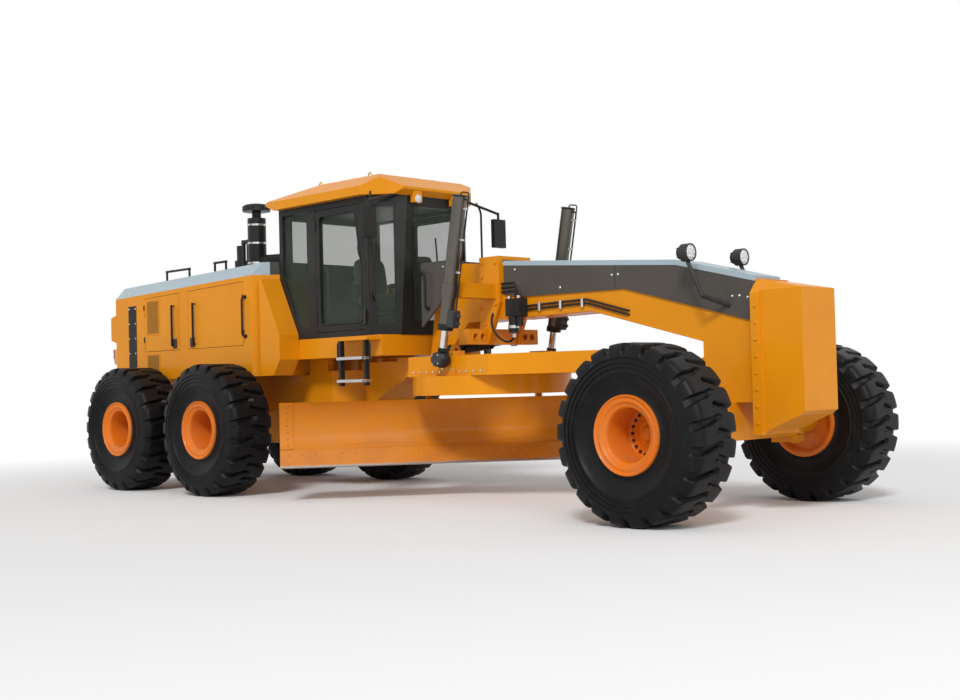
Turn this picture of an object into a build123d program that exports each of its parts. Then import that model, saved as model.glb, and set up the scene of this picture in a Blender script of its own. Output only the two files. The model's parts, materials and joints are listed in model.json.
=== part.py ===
"""Six-wheel motor grader: articulated frame, cab, drawbar, circle and blade, as separate pieces.

Frame: +X forward, +Y to the machine's left, +Z up. The origin is on the ground, under the
middle of the overall length, on the centre line. All sizes are in millimetres.
"""

import os
from math import atan2, cos, hypot, sin

from build123d import *

# Overall layout
REAR_OVERHANG = 1280
TANDEM_SPACING = 1920
FRONT_WHEELBASE = 6600
FRONT_OVERHANG = 920
OVERALL_LENGTH = REAR_OVERHANG + TANDEM_SPACING + FRONT_WHEELBASE + FRONT_OVERHANG
X_TAIL = -OVERALL_LENGTH / 2
X_REAR_AXLE = X_TAIL + REAR_OVERHANG
X_MID_AXLE = X_REAR_AXLE + TANDEM_SPACING
X_FRONT_AXLE = X_MID_AXLE + FRONT_WHEELBASE
X_NOSE = X_FRONT_AXLE + FRONT_OVERHANG
HALF_TRACK = 1450
SEAT_GAP = 0.3
RUNNING_GAP = 0.05
SWING_GAP = 6

# Wheels
TYRE_RADIUS = 808
TYRE_HALF_WIDTH = 295
TREAD_HALF_WIDTH = 262
SHOULDER_RADIUS = 640
LUG_COUNT = 22
LUG_HEIGHT = 40
GROOVE_FLOOR = TYRE_RADIUS - LUG_HEIGHT
GROOVE_OUTLINE = [
    (-70, -15), (-22, -15), (18, 95), (36, TREAD_HALF_WIDTH - 70), (84, TYRE_HALF_WIDTH + 30),
    (-4, TYRE_HALF_WIDTH + 30), (-22, TREAD_HALF_WIDTH - 60), (-36, 115),
]
RIM_RADIUS = 356
RIM_HALF_WIDTH = 262
DISH_RADIUS = 237
DISC_FACE = -100
HUB_RADIUS = 110
HUB_END = HALF_TRACK + DISC_FACE + 12

# Articulation and rear frame
X_HITCH = X_MID_AXLE + 1300
HITCH_PIN_RADIUS = 70
TONGUE_LOW = 1040
TONGUE_HIGH = 1490
FORK_THICKNESS = 80
RAIL_INNER = 350
RAIL_OUTER = 450
RAIL_LOW = 1000
RAIL_HIGH = 1450

# Hood
HOOD_REAR = X_TAIL + 260
HOOD_FRONT = X_MID_AXLE + 470
HOOD_HALF_WIDTH = 1100
HOOD_NOSE_HALF_WIDTH = HOOD_HALF_WIDTH - 320
HOOD_CHAMFER_LENGTH = 180
HOOD_BOTTOM = 1450
HOOD_REAR_TOP = 2600
HOOD_FRONT_TOP = 2710
HOOD_WALL = 40
HOOD_LENGTH = HOOD_FRONT - HOOD_REAR
GRILLE_HALF_WIDTH = HOOD_HALF_WIDTH - 480
GRILLE_LOW = HOOD_BOTTOM + 110
GRILLE_HIGH = HOOD_REAR_TOP - 120
COVER_HEIGHT = 160
COVER_INSET = 150

# Cab, carried on the rear frame
CAB_HALF_WIDTH = 800
CAB_FLOOR = 1880
CAB_TOP = 3500
CAB_WALL = 60
CAB_REAR = X_MID_AXLE + 500
CAB_REAR_FOOT = CAB_REAR + 360
CAB_KNEE = CAB_FLOOR + (CAB_TOP - CAB_FLOOR) * 38 / 81
CAB_CORNER = X_MID_AXLE + 2180
CAB_FRONT_FOOT = CAB_CORNER + 220
CAB_FRONT_TOP = CAB_CORNER + 280
CAB_FRONT_HALF_WIDTH = 420
DOOR_REAR = CAB_CORNER - 970
DOOR_FRONT = CAB_CORNER - 40
DOOR_LOW = CAB_FLOOR + CAB_WALL + 5
DOOR_HIGH = CAB_TOP - 80
GLASS = 12
ROOF_LAMP = 130
ROOF_OVERHANG = 100
ROOF_REAR_OVERHANG = 220
ROOF_FRONT_OVERHANG = 80
ROOF_RISE = 260
BASE_LOW = 1640
SEAT_HALF_WIDTH = 270
SEAT_DEPTH = 520
SEAT_LEVEL = 470
SEAT_CUSHION = 140
SEAT_HEADROOM = 410
ARMREST_WIDTH = 60
DECK_REACH = 220
DECK_THICKNESS = 40
LADDER_WIDTH = 440
LADDER_POST = (40, 60)
LADDER_LOW = 1300
STEP_HEIGHTS = (1340, 1600)
STEP_THICKNESS = 30

# Gooseneck front frame
FRAME_HALF_WIDTH = 200
LEG_HALF_WIDTH = 300
NOSE_BACK = X_FRONT_AXLE - 210
NOSE_FRONT = X_FRONT_AXLE + 390
NOSE_LOW = 1050
COVER_SHEET = 20
COVER_CUT_LOW = 1700
COVER_LIFT = 30
COWL_HALF_WIDTH = 400
COWL_SHEET = 30
COWL_HIGH = 2690
PUSH_HALF_WIDTH = 290
PUSH_FLANGE = 20
PUSH_PLATE = 100
PUSH_LOW = 750
PUSH_HIGH = 2190
PUSH_FACE_LOW = 970
PUSH_FACE_HIGH = 2090
SADDLE_BACK = X_MID_AXLE + 3450
SADDLE_LENGTH = 300
SADDLE_PLATE = 60
SADDLE_HIGH = 2690
LOCK_BAR_HALF_WIDTH = 560
LOCK_BAR_LOW = 1720
LOCK_BAR_HIGH = 1890
LOCK_HOLES = (-460, -345, 345, 460)
LOCK_HOLE_RADIUS = 34
LAMP_HALF_SPAN = 450
LAMP_HEIGHT = 2480
LAMP_STALK_RADIUS = 20
FILTER_RADIUS = 55
FILTER_LOW = 1830
FILTER_BLOCK_HIGH = 2200
FILTER_BLOCK_LENGTH = 210
FILTER_REACH = 130
FRAME_TOP = [
    (X_MID_AXLE + 2720, 2550),
    (X_MID_AXLE + 3050, 2660),
    (X_FRONT_AXLE - 500, 2420),
    (NOSE_FRONT, 2200),
]

# Drawbar, circle and blade
X_DRAWBAR_PIN = X_FRONT_AXLE - 390
Z_DRAWBAR_PIN = 1350
DRAWBAR_PIN_RADIUS = 50
X_CIRCLE = X_MID_AXLE + 3350
CIRCLE_RADIUS = 900
CIRCLE_BORE = 750
CIRCLE_LOW = 1170
PLATE_LOW = 1380
PLATE_THICKNESS = 30
BEAM_TOP = 1600
BEAM_INNER = 650
BEAM_OUTER = 780
PLATE_HALF_WIDTH = 790
PLATE_BORE = 480
BLADE_YAW = 37.5
BLADE_LENGTH = 4270
BLADE_SHIFT = -262
BLADE_THICKNESS = 25
BLADE_RADIUS = 423
BLADE_TOP = 1125
EDGE_TIP = (-230, 397)
EDGE_LENGTH = 230
EDGE_THICKNESS = 20
EDGE_OVERHANG = 90
TIP_PIVOT = (-650, 640)
TIP_PIN_RADIUS = 40

# Lift and shift cylinders
LIFT_HALF_SPAN = 880
TRUNNION = (X_MID_AXLE + 3605, 2300)
LIFT_BALL = (X_MID_AXLE + 3460, 1560)
LIFT_BARREL_RADIUS = 77
LIFT_ROD_RADIUS = 42
PAD_FACE = 800
X_SHIFT = X_MID_AXLE + 3305

# Front axle
KINGPIN_HALF_SPAN = 1050
LAMP_RADIUS = 85
KINGPIN_RADIUS = 45
AXLE_HALF_HEIGHT = 120
STEER_ARM_REACH = 330
STEER_ARM_WIDTH = 80
STEER_ARM_INSET = 10


# Small tools, each of which adds to or cuts from the part being built
def block(low, high, mode=Mode.ADD):
    """A box between two opposite corners."""
    size = [h - l for l, h in zip(low, high)]
    middle = tuple((l + h) / 2 for l, h in zip(low, high))
    with Locations(middle):
        Box(*size, mode=mode)


def prism_xz(points, y_low, y_high, mode=Mode.ADD):
    """A prism across the machine, from its outline seen from the side."""
    with BuildSketch(Plane.XZ.offset(-y_high)) as outline:
        with BuildLine():
            Polyline(*points, close=True)
        make_face()
    extrude(outline.sketch, amount=y_high - y_low, dir=(0, -1, 0), mode=mode)


def prism_xy(points, z_low, z_high, mode=Mode.ADD):
    """An upright prism, from its outline seen from above."""
    with BuildSketch(Plane.XY.offset(z_low)) as outline:
        with BuildLine():
            Polyline(*points, close=True)
        make_face()
    extrude(outline.sketch, amount=z_high - z_low, dir=(0, 0, 1), mode=mode)


def prism_yz(points, x_low, x_high, mode=Mode.ADD):
    """A prism along the machine, from its outline seen from the end."""
    with BuildSketch(Plane.YZ.offset(x_low)) as outline:
        with BuildLine():
            Polyline(*points, close=True)
        make_face()
    extrude(outline.sketch, amount=x_high - x_low, dir=(1, 0, 0), mode=mode)


def rod(start, end, radius, mode=Mode.ADD):
    """A round bar from one point to another."""
    along = Vector(*end) - Vector(*start)
    with Locations(Plane(origin=start, z_dir=along)):
        Cylinder(radius, along.length, align=(Align.CENTER, Align.CENTER, Align.MIN), mode=mode)


def door_knuckles(x, y, heights, on_door):
    """Round hinge knuckles on a door's upright axis: the door's own stand on the fixed ones."""
    for z in heights:
        own = (z, z + 70)
        other = (z - 70, z - SEAT_GAP)
        kept, cut = (own, other) if on_door else (other, own)
        rod((x, y, cut[0] - SWING_GAP), (x, y, cut[1] + SWING_GAP), 22, Mode.SUBTRACT)
        rod((x, y, kept[0]), (x, y, kept[1]), 16)


def save(shape, name):
    """Labels a finished piece and writes it as its own file."""
    shape.label = name
    export_step(shape, f"parts/{name}.step")


def both_sides(points):
    """An outline given for +Y, closed by its mirror image."""
    return points + [(x, -y) for x, y in reversed(points)]


# Wheels: a tyre and a dished rim on each of six hubs
def spun(points, x, side):
    """Turns a wheel section, given as radius and outward offset, about its axle."""
    centre = (x, side * HALF_TRACK, TYRE_RADIUS)
    with BuildSketch(Plane(origin=centre, x_dir=(1, 0, 0), z_dir=(0, 0, side))) as section:
        with BuildLine():
            Polyline(*points, close=True)
        make_face()
    revolve(section.sketch, axis=Axis(centre, (0, 1, 0)))


def tread_groove(side):
    """One slanting groove between two lugs, cut down from the top of the wheel on one half of its tread."""
    with BuildSketch(Plane.XY.offset(GROOVE_FLOOR)) as outline:
        with BuildLine():
            Polyline(*[(u, side * w) for u, w in GROOVE_OUTLINE], close=True)
        make_face()
    extrude(outline.sketch, amount=2 * LUG_HEIGHT, dir=(0, 0, 1))


def lugged_tyre():
    """A tyre about the Y axis: a round-shouldered carcass whose tread is cut into two rows of lugs."""
    bore = RIM_RADIUS + SEAT_GAP
    bead = RIM_HALF_WIDTH - 12
    half = [
        (bore, bead),
        (bore + 40, bead + 22),
        (SHOULDER_RADIUS - 100, TYRE_HALF_WIDTH),
        (SHOULDER_RADIUS + 40, TYRE_HALF_WIDTH),
        (TYRE_RADIUS - 45, TREAD_HALF_WIDTH + 12),
        (TYRE_RADIUS, TREAD_HALF_WIDTH - 30),
    ]
    pitch = 360 / LUG_COUNT
    with BuildPart() as body:
        with BuildSketch() as section:
            with BuildLine():
                Polyline(*half, *[(r, -o) for r, o in reversed(half)], close=True)
            make_face()
        revolve(section.sketch, axis=Axis.Y)
        grooves = []
        for side in (1, -1):
            with BuildPart(mode=Mode.PRIVATE) as groove:
                tread_groove(side)
            start = 0 if side > 0 else pitch / 2
            grooves += [
                groove.part.rotate(Axis.Y, start + step * pitch) for step in range(LUG_COUNT)
            ]
        add(grooves, mode=Mode.SUBTRACT)
    return body.part


LUGGED_TYRE = lugged_tyre()


def tyre(x, side):
    lugged = LUGGED_TYRE if side > 0 else mirror(LUGGED_TYRE, about=Plane.XZ)
    return lugged.moved(Location((x, side * HALF_TRACK, TYRE_RADIUS)))


def rim(x, side):
    bore = HUB_RADIUS + RUNNING_GAP
    section = [
        (RIM_RADIUS, RIM_HALF_WIDTH),
        (RIM_RADIUS - 60, RIM_HALF_WIDTH),
        (DISH_RADIUS, RIM_HALF_WIDTH - 45),
        (DISH_RADIUS, DISC_FACE),
        (bore, DISC_FACE),
        (bore, -RIM_HALF_WIDTH),
        (RIM_RADIUS, -RIM_HALF_WIDTH),
    ]
    with BuildPart() as body:
        spun(section, x, side)
    return body.part


WHEELS = {
    "front_left": (X_FRONT_AXLE, 1),
    "front_right": (X_FRONT_AXLE, -1),
    "mid_left": (X_MID_AXLE, 1),
    "mid_right": (X_MID_AXLE, -1),
    "rear_left": (X_REAR_AXLE, 1),
    "rear_right": (X_REAR_AXLE, -1),
}


# Front axle and knuckles
def front_axle():
    z, x = TYRE_RADIUS, X_FRONT_AXLE
    ear, thick = KINGPIN_RADIUS + 45, 65
    with BuildPart() as axle:
        prism_yz(
            [
                (-880, z - AXLE_HALF_HEIGHT),
                (880, z - AXLE_HALF_HEIGHT),
                (880, z + AXLE_HALF_HEIGHT),
                (330, z + AXLE_HALF_HEIGHT + 40),
                (290, NOSE_LOW),
                (-290, NOSE_LOW),
                (-330, z + AXLE_HALF_HEIGHT + 40),
                (-880, z + AXLE_HALF_HEIGHT),
            ],
            x - 130,
            x + 130,
        )
        for side in (1, -1):
            y_pin = side * KINGPIN_HALF_SPAN
            inner, outer = sorted((side * 800, side * 890))
            reach = AXLE_HALF_HEIGHT + thick
            block((x - 125, inner, z - reach), (x + 125, outer, z + reach))
            for low in (z - AXLE_HALF_HEIGHT - thick, z + AXLE_HALF_HEIGHT):
                y_low, y_high = sorted((side * 850, y_pin))
                block((x - ear, y_low, low), (x + ear, y_high, low + thick))
                rod((x, y_pin, low), (x, y_pin, low + thick), ear)
                hole = KINGPIN_RADIUS + RUNNING_GAP
                rod((x, y_pin, low - 1), (x, y_pin, low + thick + 1), hole, Mode.SUBTRACT)
    return axle.part


def knuckle(side):
    z, x = TYRE_RADIUS, X_FRONT_AXLE
    y_pin = side * KINGPIN_HALF_SPAN
    reach, ends = AXLE_HALF_HEIGHT - SWING_GAP, AXLE_HALF_HEIGHT + 85
    with BuildPart() as piece:
        rod((x, y_pin, z - reach), (x, y_pin, z + reach), 90)
        rod((x, y_pin, z - ends), (x, y_pin, z + ends), KINGPIN_RADIUS)
        rod((x, y_pin, z), (x, side * HUB_END, z), HUB_RADIUS)
        inner = y_pin - side * STEER_ARM_INSET
        low, high = sorted((inner, inner + side * STEER_ARM_WIDTH))
        block((x - STEER_ARM_REACH, low, z - 30), (x - 60, high, z + 30))
    return piece.part


# Rear frame, tandem cases and the axle between them
def rear_frame():
    plate = X_TAIL + 60
    root = X_HITCH - 330
    with BuildPart() as frame:
        for side in (1, -1):
            y_low, y_high = sorted((side * RAIL_INNER, side * RAIL_OUTER))
            block((plate, y_low, RAIL_LOW), (root + 60, y_high, RAIL_HIGH))
        block((X_TAIL, -640, 880), (plate, 640, RAIL_HIGH))
        for x in (X_REAR_AXLE + 250, X_MID_AXLE - 300):
            block((x, -RAIL_INNER, RAIL_LOW + 20), (x + 160, RAIL_INNER, RAIL_LOW + 180))
        prism_xy(
            both_sides([(root, RAIL_OUTER), (root + 90, RAIL_OUTER), (X_HITCH, 140)]), TONGUE_LOW, TONGUE_HIGH
        )
        rod((X_HITCH, 0, TONGUE_LOW), (X_HITCH, 0, TONGUE_HIGH), 140)
        ends = SWING_GAP + FORK_THICKNESS + 15
        rod((X_HITCH, 0, TONGUE_LOW - ends), (X_HITCH, 0, TONGUE_HIGH + ends), HITCH_PIN_RADIUS)
        with Locations(Plane(origin=(X_TAIL, 0, 1165), x_dir=(0, 1, 0), z_dir=(-1, 0, 0))):
            with GridLocations(1000, 400, 2, 2):
                Cylinder(17, 200, mode=Mode.SUBTRACT)
    return frame.part


def tow_hitch():
    with BuildPart() as hitch:
        block((X_TAIL + 60, -RAIL_INNER, 880), (X_TAIL + 90, RAIL_INNER, 990))
        block((X_TAIL + 90, -60, 900), (X_TAIL + 230, 60, 960))
        rod((X_TAIL + 165, 0, 880), (X_TAIL + 165, 0, 980), 27.5, Mode.SUBTRACT)
    return hitch.part


def tandem_case(side):
    z = TYRE_RADIUS
    y_low, y_high = sorted((side * 880, side * 1130))
    with BuildPart() as case:
        with BuildSketch(Plane.XZ.offset(-y_high)) as outline:
            with Locations(((X_REAR_AXLE + X_MID_AXLE) / 2, z)):
                SlotCenterToCenter(TANDEM_SPACING, 560)
        extrude(outline.sketch, amount=y_high - y_low, dir=(0, -1, 0))
        for x in (X_REAR_AXLE, X_MID_AXLE):
            rod((x, side * 1100, z), (x, side * 1180, z), 190)
            rod((x, side * 1100, z), (x, side * HUB_END, z), HUB_RADIUS)
    return case.part


def rear_axle():
    x = (X_REAR_AXLE + X_MID_AXLE) / 2
    z = TYRE_RADIUS
    with BuildPart() as axle:
        rod((x, -880, z), (x, 880, z), 165)
        rod((x - 260, 0, z), (x + 340, 0, z), 250)
        for side in (1, -1):
            y_low, y_high = sorted((side * RAIL_INNER, side * RAIL_OUTER))
            block((x - 170, y_low, z), (x + 170, y_high, RAIL_LOW))
    return axle.part


# Hood: a hollow shell with side doors and a chamfered top cover
HOOD_SLOPE = atan2(HOOD_FRONT_TOP - HOOD_REAR_TOP, HOOD_FRONT - HOOD_REAR)
HOOD_DOORS = {
    "rear": (HOOD_REAR + HOOD_LENGTH * 75 / 341, HOOD_REAR + HOOD_LENGTH * 162 / 341),
    "front": (HOOD_REAR + HOOD_LENGTH * 182 / 341, HOOD_REAR + HOOD_LENGTH * 307 / 341),
}
HOOD_DOOR_LOW = HOOD_BOTTOM + 385


def hood_top_at(x):
    """Height of the shell's sloping upper rim above a place along the machine."""
    return HOOD_REAR_TOP + (x - HOOD_REAR) * (HOOD_FRONT_TOP - HOOD_REAR_TOP) / (HOOD_FRONT - HOOD_REAR)


def hood_outline(inset):
    corner = HOOD_FRONT - HOOD_CHAMFER_LENGTH
    return both_sides(
        [
            (HOOD_REAR + inset, HOOD_HALF_WIDTH - inset),
            (corner - inset / 2, HOOD_HALF_WIDTH - inset),
            (HOOD_FRONT - inset, HOOD_NOSE_HALF_WIDTH - inset / 2),
        ]
    )


def door_outline(x_low, x_high, clearance):
    """A hood door's outline from the side, under the sloping rim."""
    low, margin = HOOD_DOOR_LOW + clearance, 60 + clearance
    left, right = x_low + clearance, x_high - clearance
    left_top, right_top = hood_top_at(left) - margin, hood_top_at(right) - margin
    return [(left, low), (right, low), (right, right_top), (left, left_top)]


HOOD_HINGES = {
    "rear": HOOD_DOORS["rear"][0] + SWING_GAP,
    "front": HOOD_DOORS["front"][1] - SWING_GAP,
}
HOOD_HINGE_HEIGHTS = (HOOD_DOOR_LOW + 125, HOOD_REAR_TOP - 200)


LOUVRE_BACK = HOOD_DOORS["rear"][0] + 80
LOUVRE_LENGTH = 280
LOUVRE_PITCH = 38
LOUVRE_DEPTH = 14
STRIP_BACK = 460
STRIP_WIDTH = 80
STRIP_DEPTH = 10
POD_LOW = HOOD_BOTTOM + 510
POD_HIGH = HOOD_REAR_TOP - 180
POD_SLOPE = 70


def louvres(x, z_low, z_high, side):
    """A stack of level slots cut into a hood panel's outer face."""
    y_low, y_high = sorted((side * (HOOD_HALF_WIDTH - LOUVRE_DEPTH), side * (HOOD_HALF_WIDTH + 1)))
    count = int((z_high - z_low) / LOUVRE_PITCH)
    for step in range(count):
        z = z_low + step * LOUVRE_PITCH
        block((x, y_low, z), (x + LOUVRE_LENGTH, y_high, z + LOUVRE_PITCH * 0.6), Mode.SUBTRACT)


def hood_shell():
    top = HOOD_FRONT_TOP + 100
    with BuildPart() as shell:
        prism_xy(hood_outline(0), HOOD_BOTTOM, top)
        prism_xy(hood_outline(HOOD_WALL), HOOD_BOTTOM - 1, top + 1, Mode.SUBTRACT)
        far = HOOD_HALF_WIDTH + 10
        prism_xz(
            [(HOOD_REAR - 1, hood_top_at(HOOD_REAR - 1)), (HOOD_FRONT + 1, hood_top_at(HOOD_FRONT + 1)),
             (HOOD_FRONT + 1, top + 50), (HOOD_REAR - 1, top + 50)],
            -far, far, Mode.SUBTRACT,
        )
        for x_low, x_high in HOOD_DOORS.values():
            prism_xz(door_outline(x_low, x_high, 0), -far, far, Mode.SUBTRACT)
        block(
            (HOOD_REAR - 1, -GRILLE_HALF_WIDTH, GRILLE_LOW),
            (HOOD_REAR + HOOD_WALL + 1, GRILLE_HALF_WIDTH, GRILLE_HIGH), Mode.SUBTRACT,
        )
        for side in (1, -1):
            y_low, y_high = sorted((side * (HOOD_HALF_WIDTH - 310), side * (HOOD_HALF_WIDTH - 70)))
            prism_xz(
                [
                    (HOOD_REAR, POD_LOW),
                    (X_TAIL, POD_LOW + POD_SLOPE),
                    (X_TAIL, POD_HIGH - POD_SLOPE),
                    (HOOD_REAR, POD_HIGH),
                ],
                y_low, y_high,
            )
            louvres(LOUVRE_BACK, HOOD_BOTTOM + 100, HOOD_BOTTOM + 330, side)
            y_low, y_high = sorted((side * (HOOD_HALF_WIDTH - STRIP_DEPTH), side * far))
            block(
                (HOOD_REAR + STRIP_BACK, y_low, HOOD_BOTTOM + 130),
                (HOOD_REAR + STRIP_BACK + STRIP_WIDTH, y_high, HOOD_REAR_TOP - 120), Mode.SUBTRACT,
            )
            for x in HOOD_HINGES.values():
                door_knuckles(x, side * HOOD_HALF_WIDTH, HOOD_HINGE_HEIGHTS, False)
    return shell.part


def hood_door(which, x_grip, side):
    x_low, x_high = HOOD_DOORS[which]
    y_low, y_high = sorted((side * (HOOD_HALF_WIDTH - HOOD_WALL), side * HOOD_HALF_WIDTH))
    z_grip, grip_y = HOOD_DOOR_LOW + 65, side * (HOOD_HALF_WIDTH + 45)
    with BuildPart() as door:
        prism_xz(door_outline(x_low, x_high, SWING_GAP), y_low, y_high)
        if which == "rear":
            louvres(LOUVRE_BACK, HOOD_DOOR_LOW + 245, HOOD_REAR_TOP - 90, side)
        inner, outer = sorted((side * (HOOD_HALF_WIDTH - 5), grip_y))
        for z in (z_grip, z_grip + 520):
            block((x_grip - 9, inner, z - 9), (x_grip + 9, outer, z + 9))
        rod((x_grip, grip_y, z_grip - 14), (x_grip, grip_y, z_grip + 534), 14)
        door_knuckles(HOOD_HINGES[which], side * HOOD_HALF_WIDTH, HOOD_HINGE_HEIGHTS, True)
    return door.part


def hood_cover():
    along = (cos(HOOD_SLOPE), 0, sin(HOOD_SLOPE))
    start = Plane(origin=(HOOD_REAR, 0, HOOD_REAR_TOP), x_dir=(0, 1, 0), z_dir=along)
    edge = HOOD_HALF_WIDTH
    with BuildPart() as cover:
        with BuildSketch(start) as section:
            with BuildLine():
                Polyline(
                    (-edge, 0), (edge, 0), (edge - COVER_INSET, COVER_HEIGHT),
                    (COVER_INSET - edge, COVER_HEIGHT), close=True,
                )
            make_face()
        length = hypot(HOOD_FRONT - HOOD_REAR, HOOD_FRONT_TOP - HOOD_REAR_TOP)
        extrude(section.sketch, amount=length, dir=along)
        prism_xy(hood_outline(0), HOOD_BOTTOM, HOOD_FRONT_TOP + 2 * COVER_HEIGHT, Mode.INTERSECT)
    return cover.part


def engine():
    with BuildPart() as mass:
        block((X_MID_AXLE - 2140, -400, RAIL_HIGH), (X_MID_AXLE - 340, 400, 2300))
    return mass.part


def rear_grille():
    with BuildPart() as grille:
        wide = GRILLE_HALF_WIDTH - SEAT_GAP
        block((HOOD_REAR + 5, -wide, GRILLE_LOW + SEAT_GAP), (HOOD_REAR + 35, wide, GRILLE_HIGH - SEAT_GAP))
        count = 10
        pitch = (GRILLE_HIGH - GRILLE_LOW - 40) / count
        for i in range(count):
            z = GRILLE_LOW + 40 + i * pitch
            block((HOOD_REAR + 2, 60 - wide, z), (HOOD_REAR + 38, wide - 60, z + pitch / 2), Mode.SUBTRACT)
        for y in (-wide / 2, 0, wide / 2):
            block((HOOD_REAR + 5, y - 15, GRILLE_LOW + 10), (HOOD_REAR + 35, y + 15, GRILLE_HIGH - 10))
    return grille.part


def tail_lamps():
    with BuildPart() as lamps:
        for side in (1, -1):
            y_low, y_high = sorted((side * (HOOD_HALF_WIDTH - 300), side * (HOOD_HALF_WIDTH - 80)))
            low = HOOD_BOTTOM + 190
            prism_xz(
                [(HOOD_REAR, low), (X_TAIL + 60, low + 60), (X_TAIL + 25, low + 260), (HOOD_REAR, low + 280)],
                y_low, y_high,
            )
    return lamps.part


def cover_trim(x, y, reach):
    """Cuts what stands on the hood cover down to the cover's sloping top."""
    low = HOOD_REAR_TOP
    lift = COVER_HEIGHT / cos(HOOD_SLOPE)
    near, far = hood_top_at(x - reach) + lift, hood_top_at(x + reach) + lift
    prism_xz(
        [(x - reach, near), (x + reach, far), (x + reach, low), (x - reach, low)],
        y - reach, y + reach, Mode.SUBTRACT,
    )


def intake_and_exhaust():
    x, y = X_MID_AXLE - 450, -450
    z = hood_top_at(x) + COVER_HEIGHT
    with BuildPart() as cleaner:
        rod((x, y, z - 60), (x, y, z + 690), 120)
        rod((x, y, z + 680), (x, y, z + 800), 60)
        rod((x, y, z + 780), (x, y, z + 850), 180)
        rod((x, y, z + 130), (x + 420, y + 150, z + 130), 75)
        rod((x + 420, y + 150, z + 205), (x + 420, y + 150, z - 60), 75)
        stack = (x - 500, y + 100)
        rod((*stack, z - 80), (*stack, z + 180), 90)
        rod((*stack, z + 170), (*stack, z + 380), 60)
        rod((*stack, z + 60), (*stack, z + 381), 52, Mode.SUBTRACT)
        cover_trim(x - 50, y, 900)
    return cleaner.part


# Cab: a hollow cell, narrower at the front, with a roof, a base, doors and panes
CORNER_RUN = CAB_FRONT_TOP - CAB_CORNER
CORNER_DROP = CAB_HALF_WIDTH - CAB_FRONT_HALF_WIDTH
CORNER_LENGTH = hypot(CORNER_RUN, CORNER_DROP)


def cab_front_at(z):
    """How far forward the cab's leaning front face reaches at a height."""
    return CAB_FRONT_FOOT + (z - CAB_FLOOR) * (CAB_FRONT_TOP - CAB_FRONT_FOOT) / (CAB_TOP - CAB_FLOOR)


def cab_solid(inset):
    """The cab's block: its side outline crossed with its outline from above."""
    low, high, wide = CAB_FLOOR + inset, CAB_TOP - inset, CAB_HALF_WIDTH - inset
    rear = CAB_REAR + inset
    push = inset * CORNER_LENGTH / CORNER_DROP
    corner = CAB_CORNER - push + inset * CORNER_RUN / CORNER_DROP
    nose = CAB_FRONT_TOP + 60
    nose_wide = CAB_HALF_WIDTH - (nose - CAB_CORNER + push) * CORNER_DROP / CORNER_RUN
    with BuildPart() as cell:
        prism_xz(
            [
                (rear, high),
                (rear, CAB_KNEE + inset / 4),
                (CAB_REAR_FOOT + inset * 0.65, low),
                (cab_front_at(low) - inset, low),
                (cab_front_at(high) - inset, high),
            ],
            -wide, wide,
        )
        prism_xy(both_sides([(rear, wide), (corner, wide), (nose, nose_wide)]), low, high, Mode.INTERSECT)
    return cell.part


def quarter_outline(gap):
    """The window behind each door, from the side."""
    return [
        (CAB_REAR + 70 + gap, DOOR_HIGH - gap),
        (CAB_REAR + 70 + gap, CAB_KNEE + 40),
        (CAB_REAR_FOOT + 30 + gap, CAB_FLOOR + 125 + gap),
        (DOOR_REAR - 160 - gap, CAB_FLOOR + 125 + gap),
        (DOOR_REAR - 160 - gap, DOOR_HIGH - gap),
    ]


def corner_pane(side, gap, thickness, depth, mode=Mode.ADD):
    """An upright pane in the slanting wall between a door and the front face."""
    out = Vector(CORNER_DROP, side * CORNER_RUN, 0) / CORNER_LENGTH
    along = Vector(CORNER_RUN, -side * CORNER_DROP, 0) / CORNER_LENGTH
    middle = Vector(CAB_CORNER, side * CAB_HALF_WIDTH, (CAB_FLOOR + CAB_TOP) / 2)
    middle = middle + along * 195 - out * depth
    height = CAB_TOP - CAB_FLOOR - 260 - 2 * gap
    with BuildSketch(Plane(origin=middle, x_dir=along, z_dir=out)) as face:
        Rectangle(230 - 2 * gap, height)
    extrude(face.sketch, amount=thickness / 2, both=True, mode=mode)


DOOR_HINGE_HEIGHTS = (DOOR_LOW + 175, DOOR_HIGH - 170)
WINDSCREEN = (CAB_FLOOR + 170, DOOR_HIGH - 40, 340)
REAR_PANE = (CAB_KNEE + 90, DOOR_HIGH - 40, 640)


def side_door_outline(gap):
    return [
        (DOOR_REAR + gap, DOOR_LOW + gap),
        (DOOR_FRONT - gap, DOOR_LOW + gap),
        (DOOR_FRONT - gap, CAB_KNEE + 60),
        (DOOR_FRONT - 110 - gap, DOOR_HIGH - gap),
        (DOOR_REAR + gap, DOOR_HIGH - gap),
    ]


def cab_frame():
    far = CAB_HALF_WIDTH + 10
    with BuildPart() as frame:
        add(cab_solid(0))
        add(cab_solid(CAB_WALL), mode=Mode.SUBTRACT)
        prism_xz(side_door_outline(0), -far, far, Mode.SUBTRACT)
        prism_xz(quarter_outline(0), -far, far, Mode.SUBTRACT)
        low, high, half = WINDSCREEN
        block((CAB_CORNER + 60, -half, low), (CAB_FRONT_TOP + 50, half, high), Mode.SUBTRACT)
        low, high, half = REAR_PANE
        block((CAB_REAR - 10, -half, low), (CAB_REAR + CAB_WALL + 20, half, high), Mode.SUBTRACT)
        for side in (1, -1):
            corner_pane(side, 0, 170, 30, Mode.SUBTRACT)
            door_knuckles(DOOR_REAR + SWING_GAP, side * CAB_HALF_WIDTH, DOOR_HINGE_HEIGHTS, False)
    return frame.part


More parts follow.
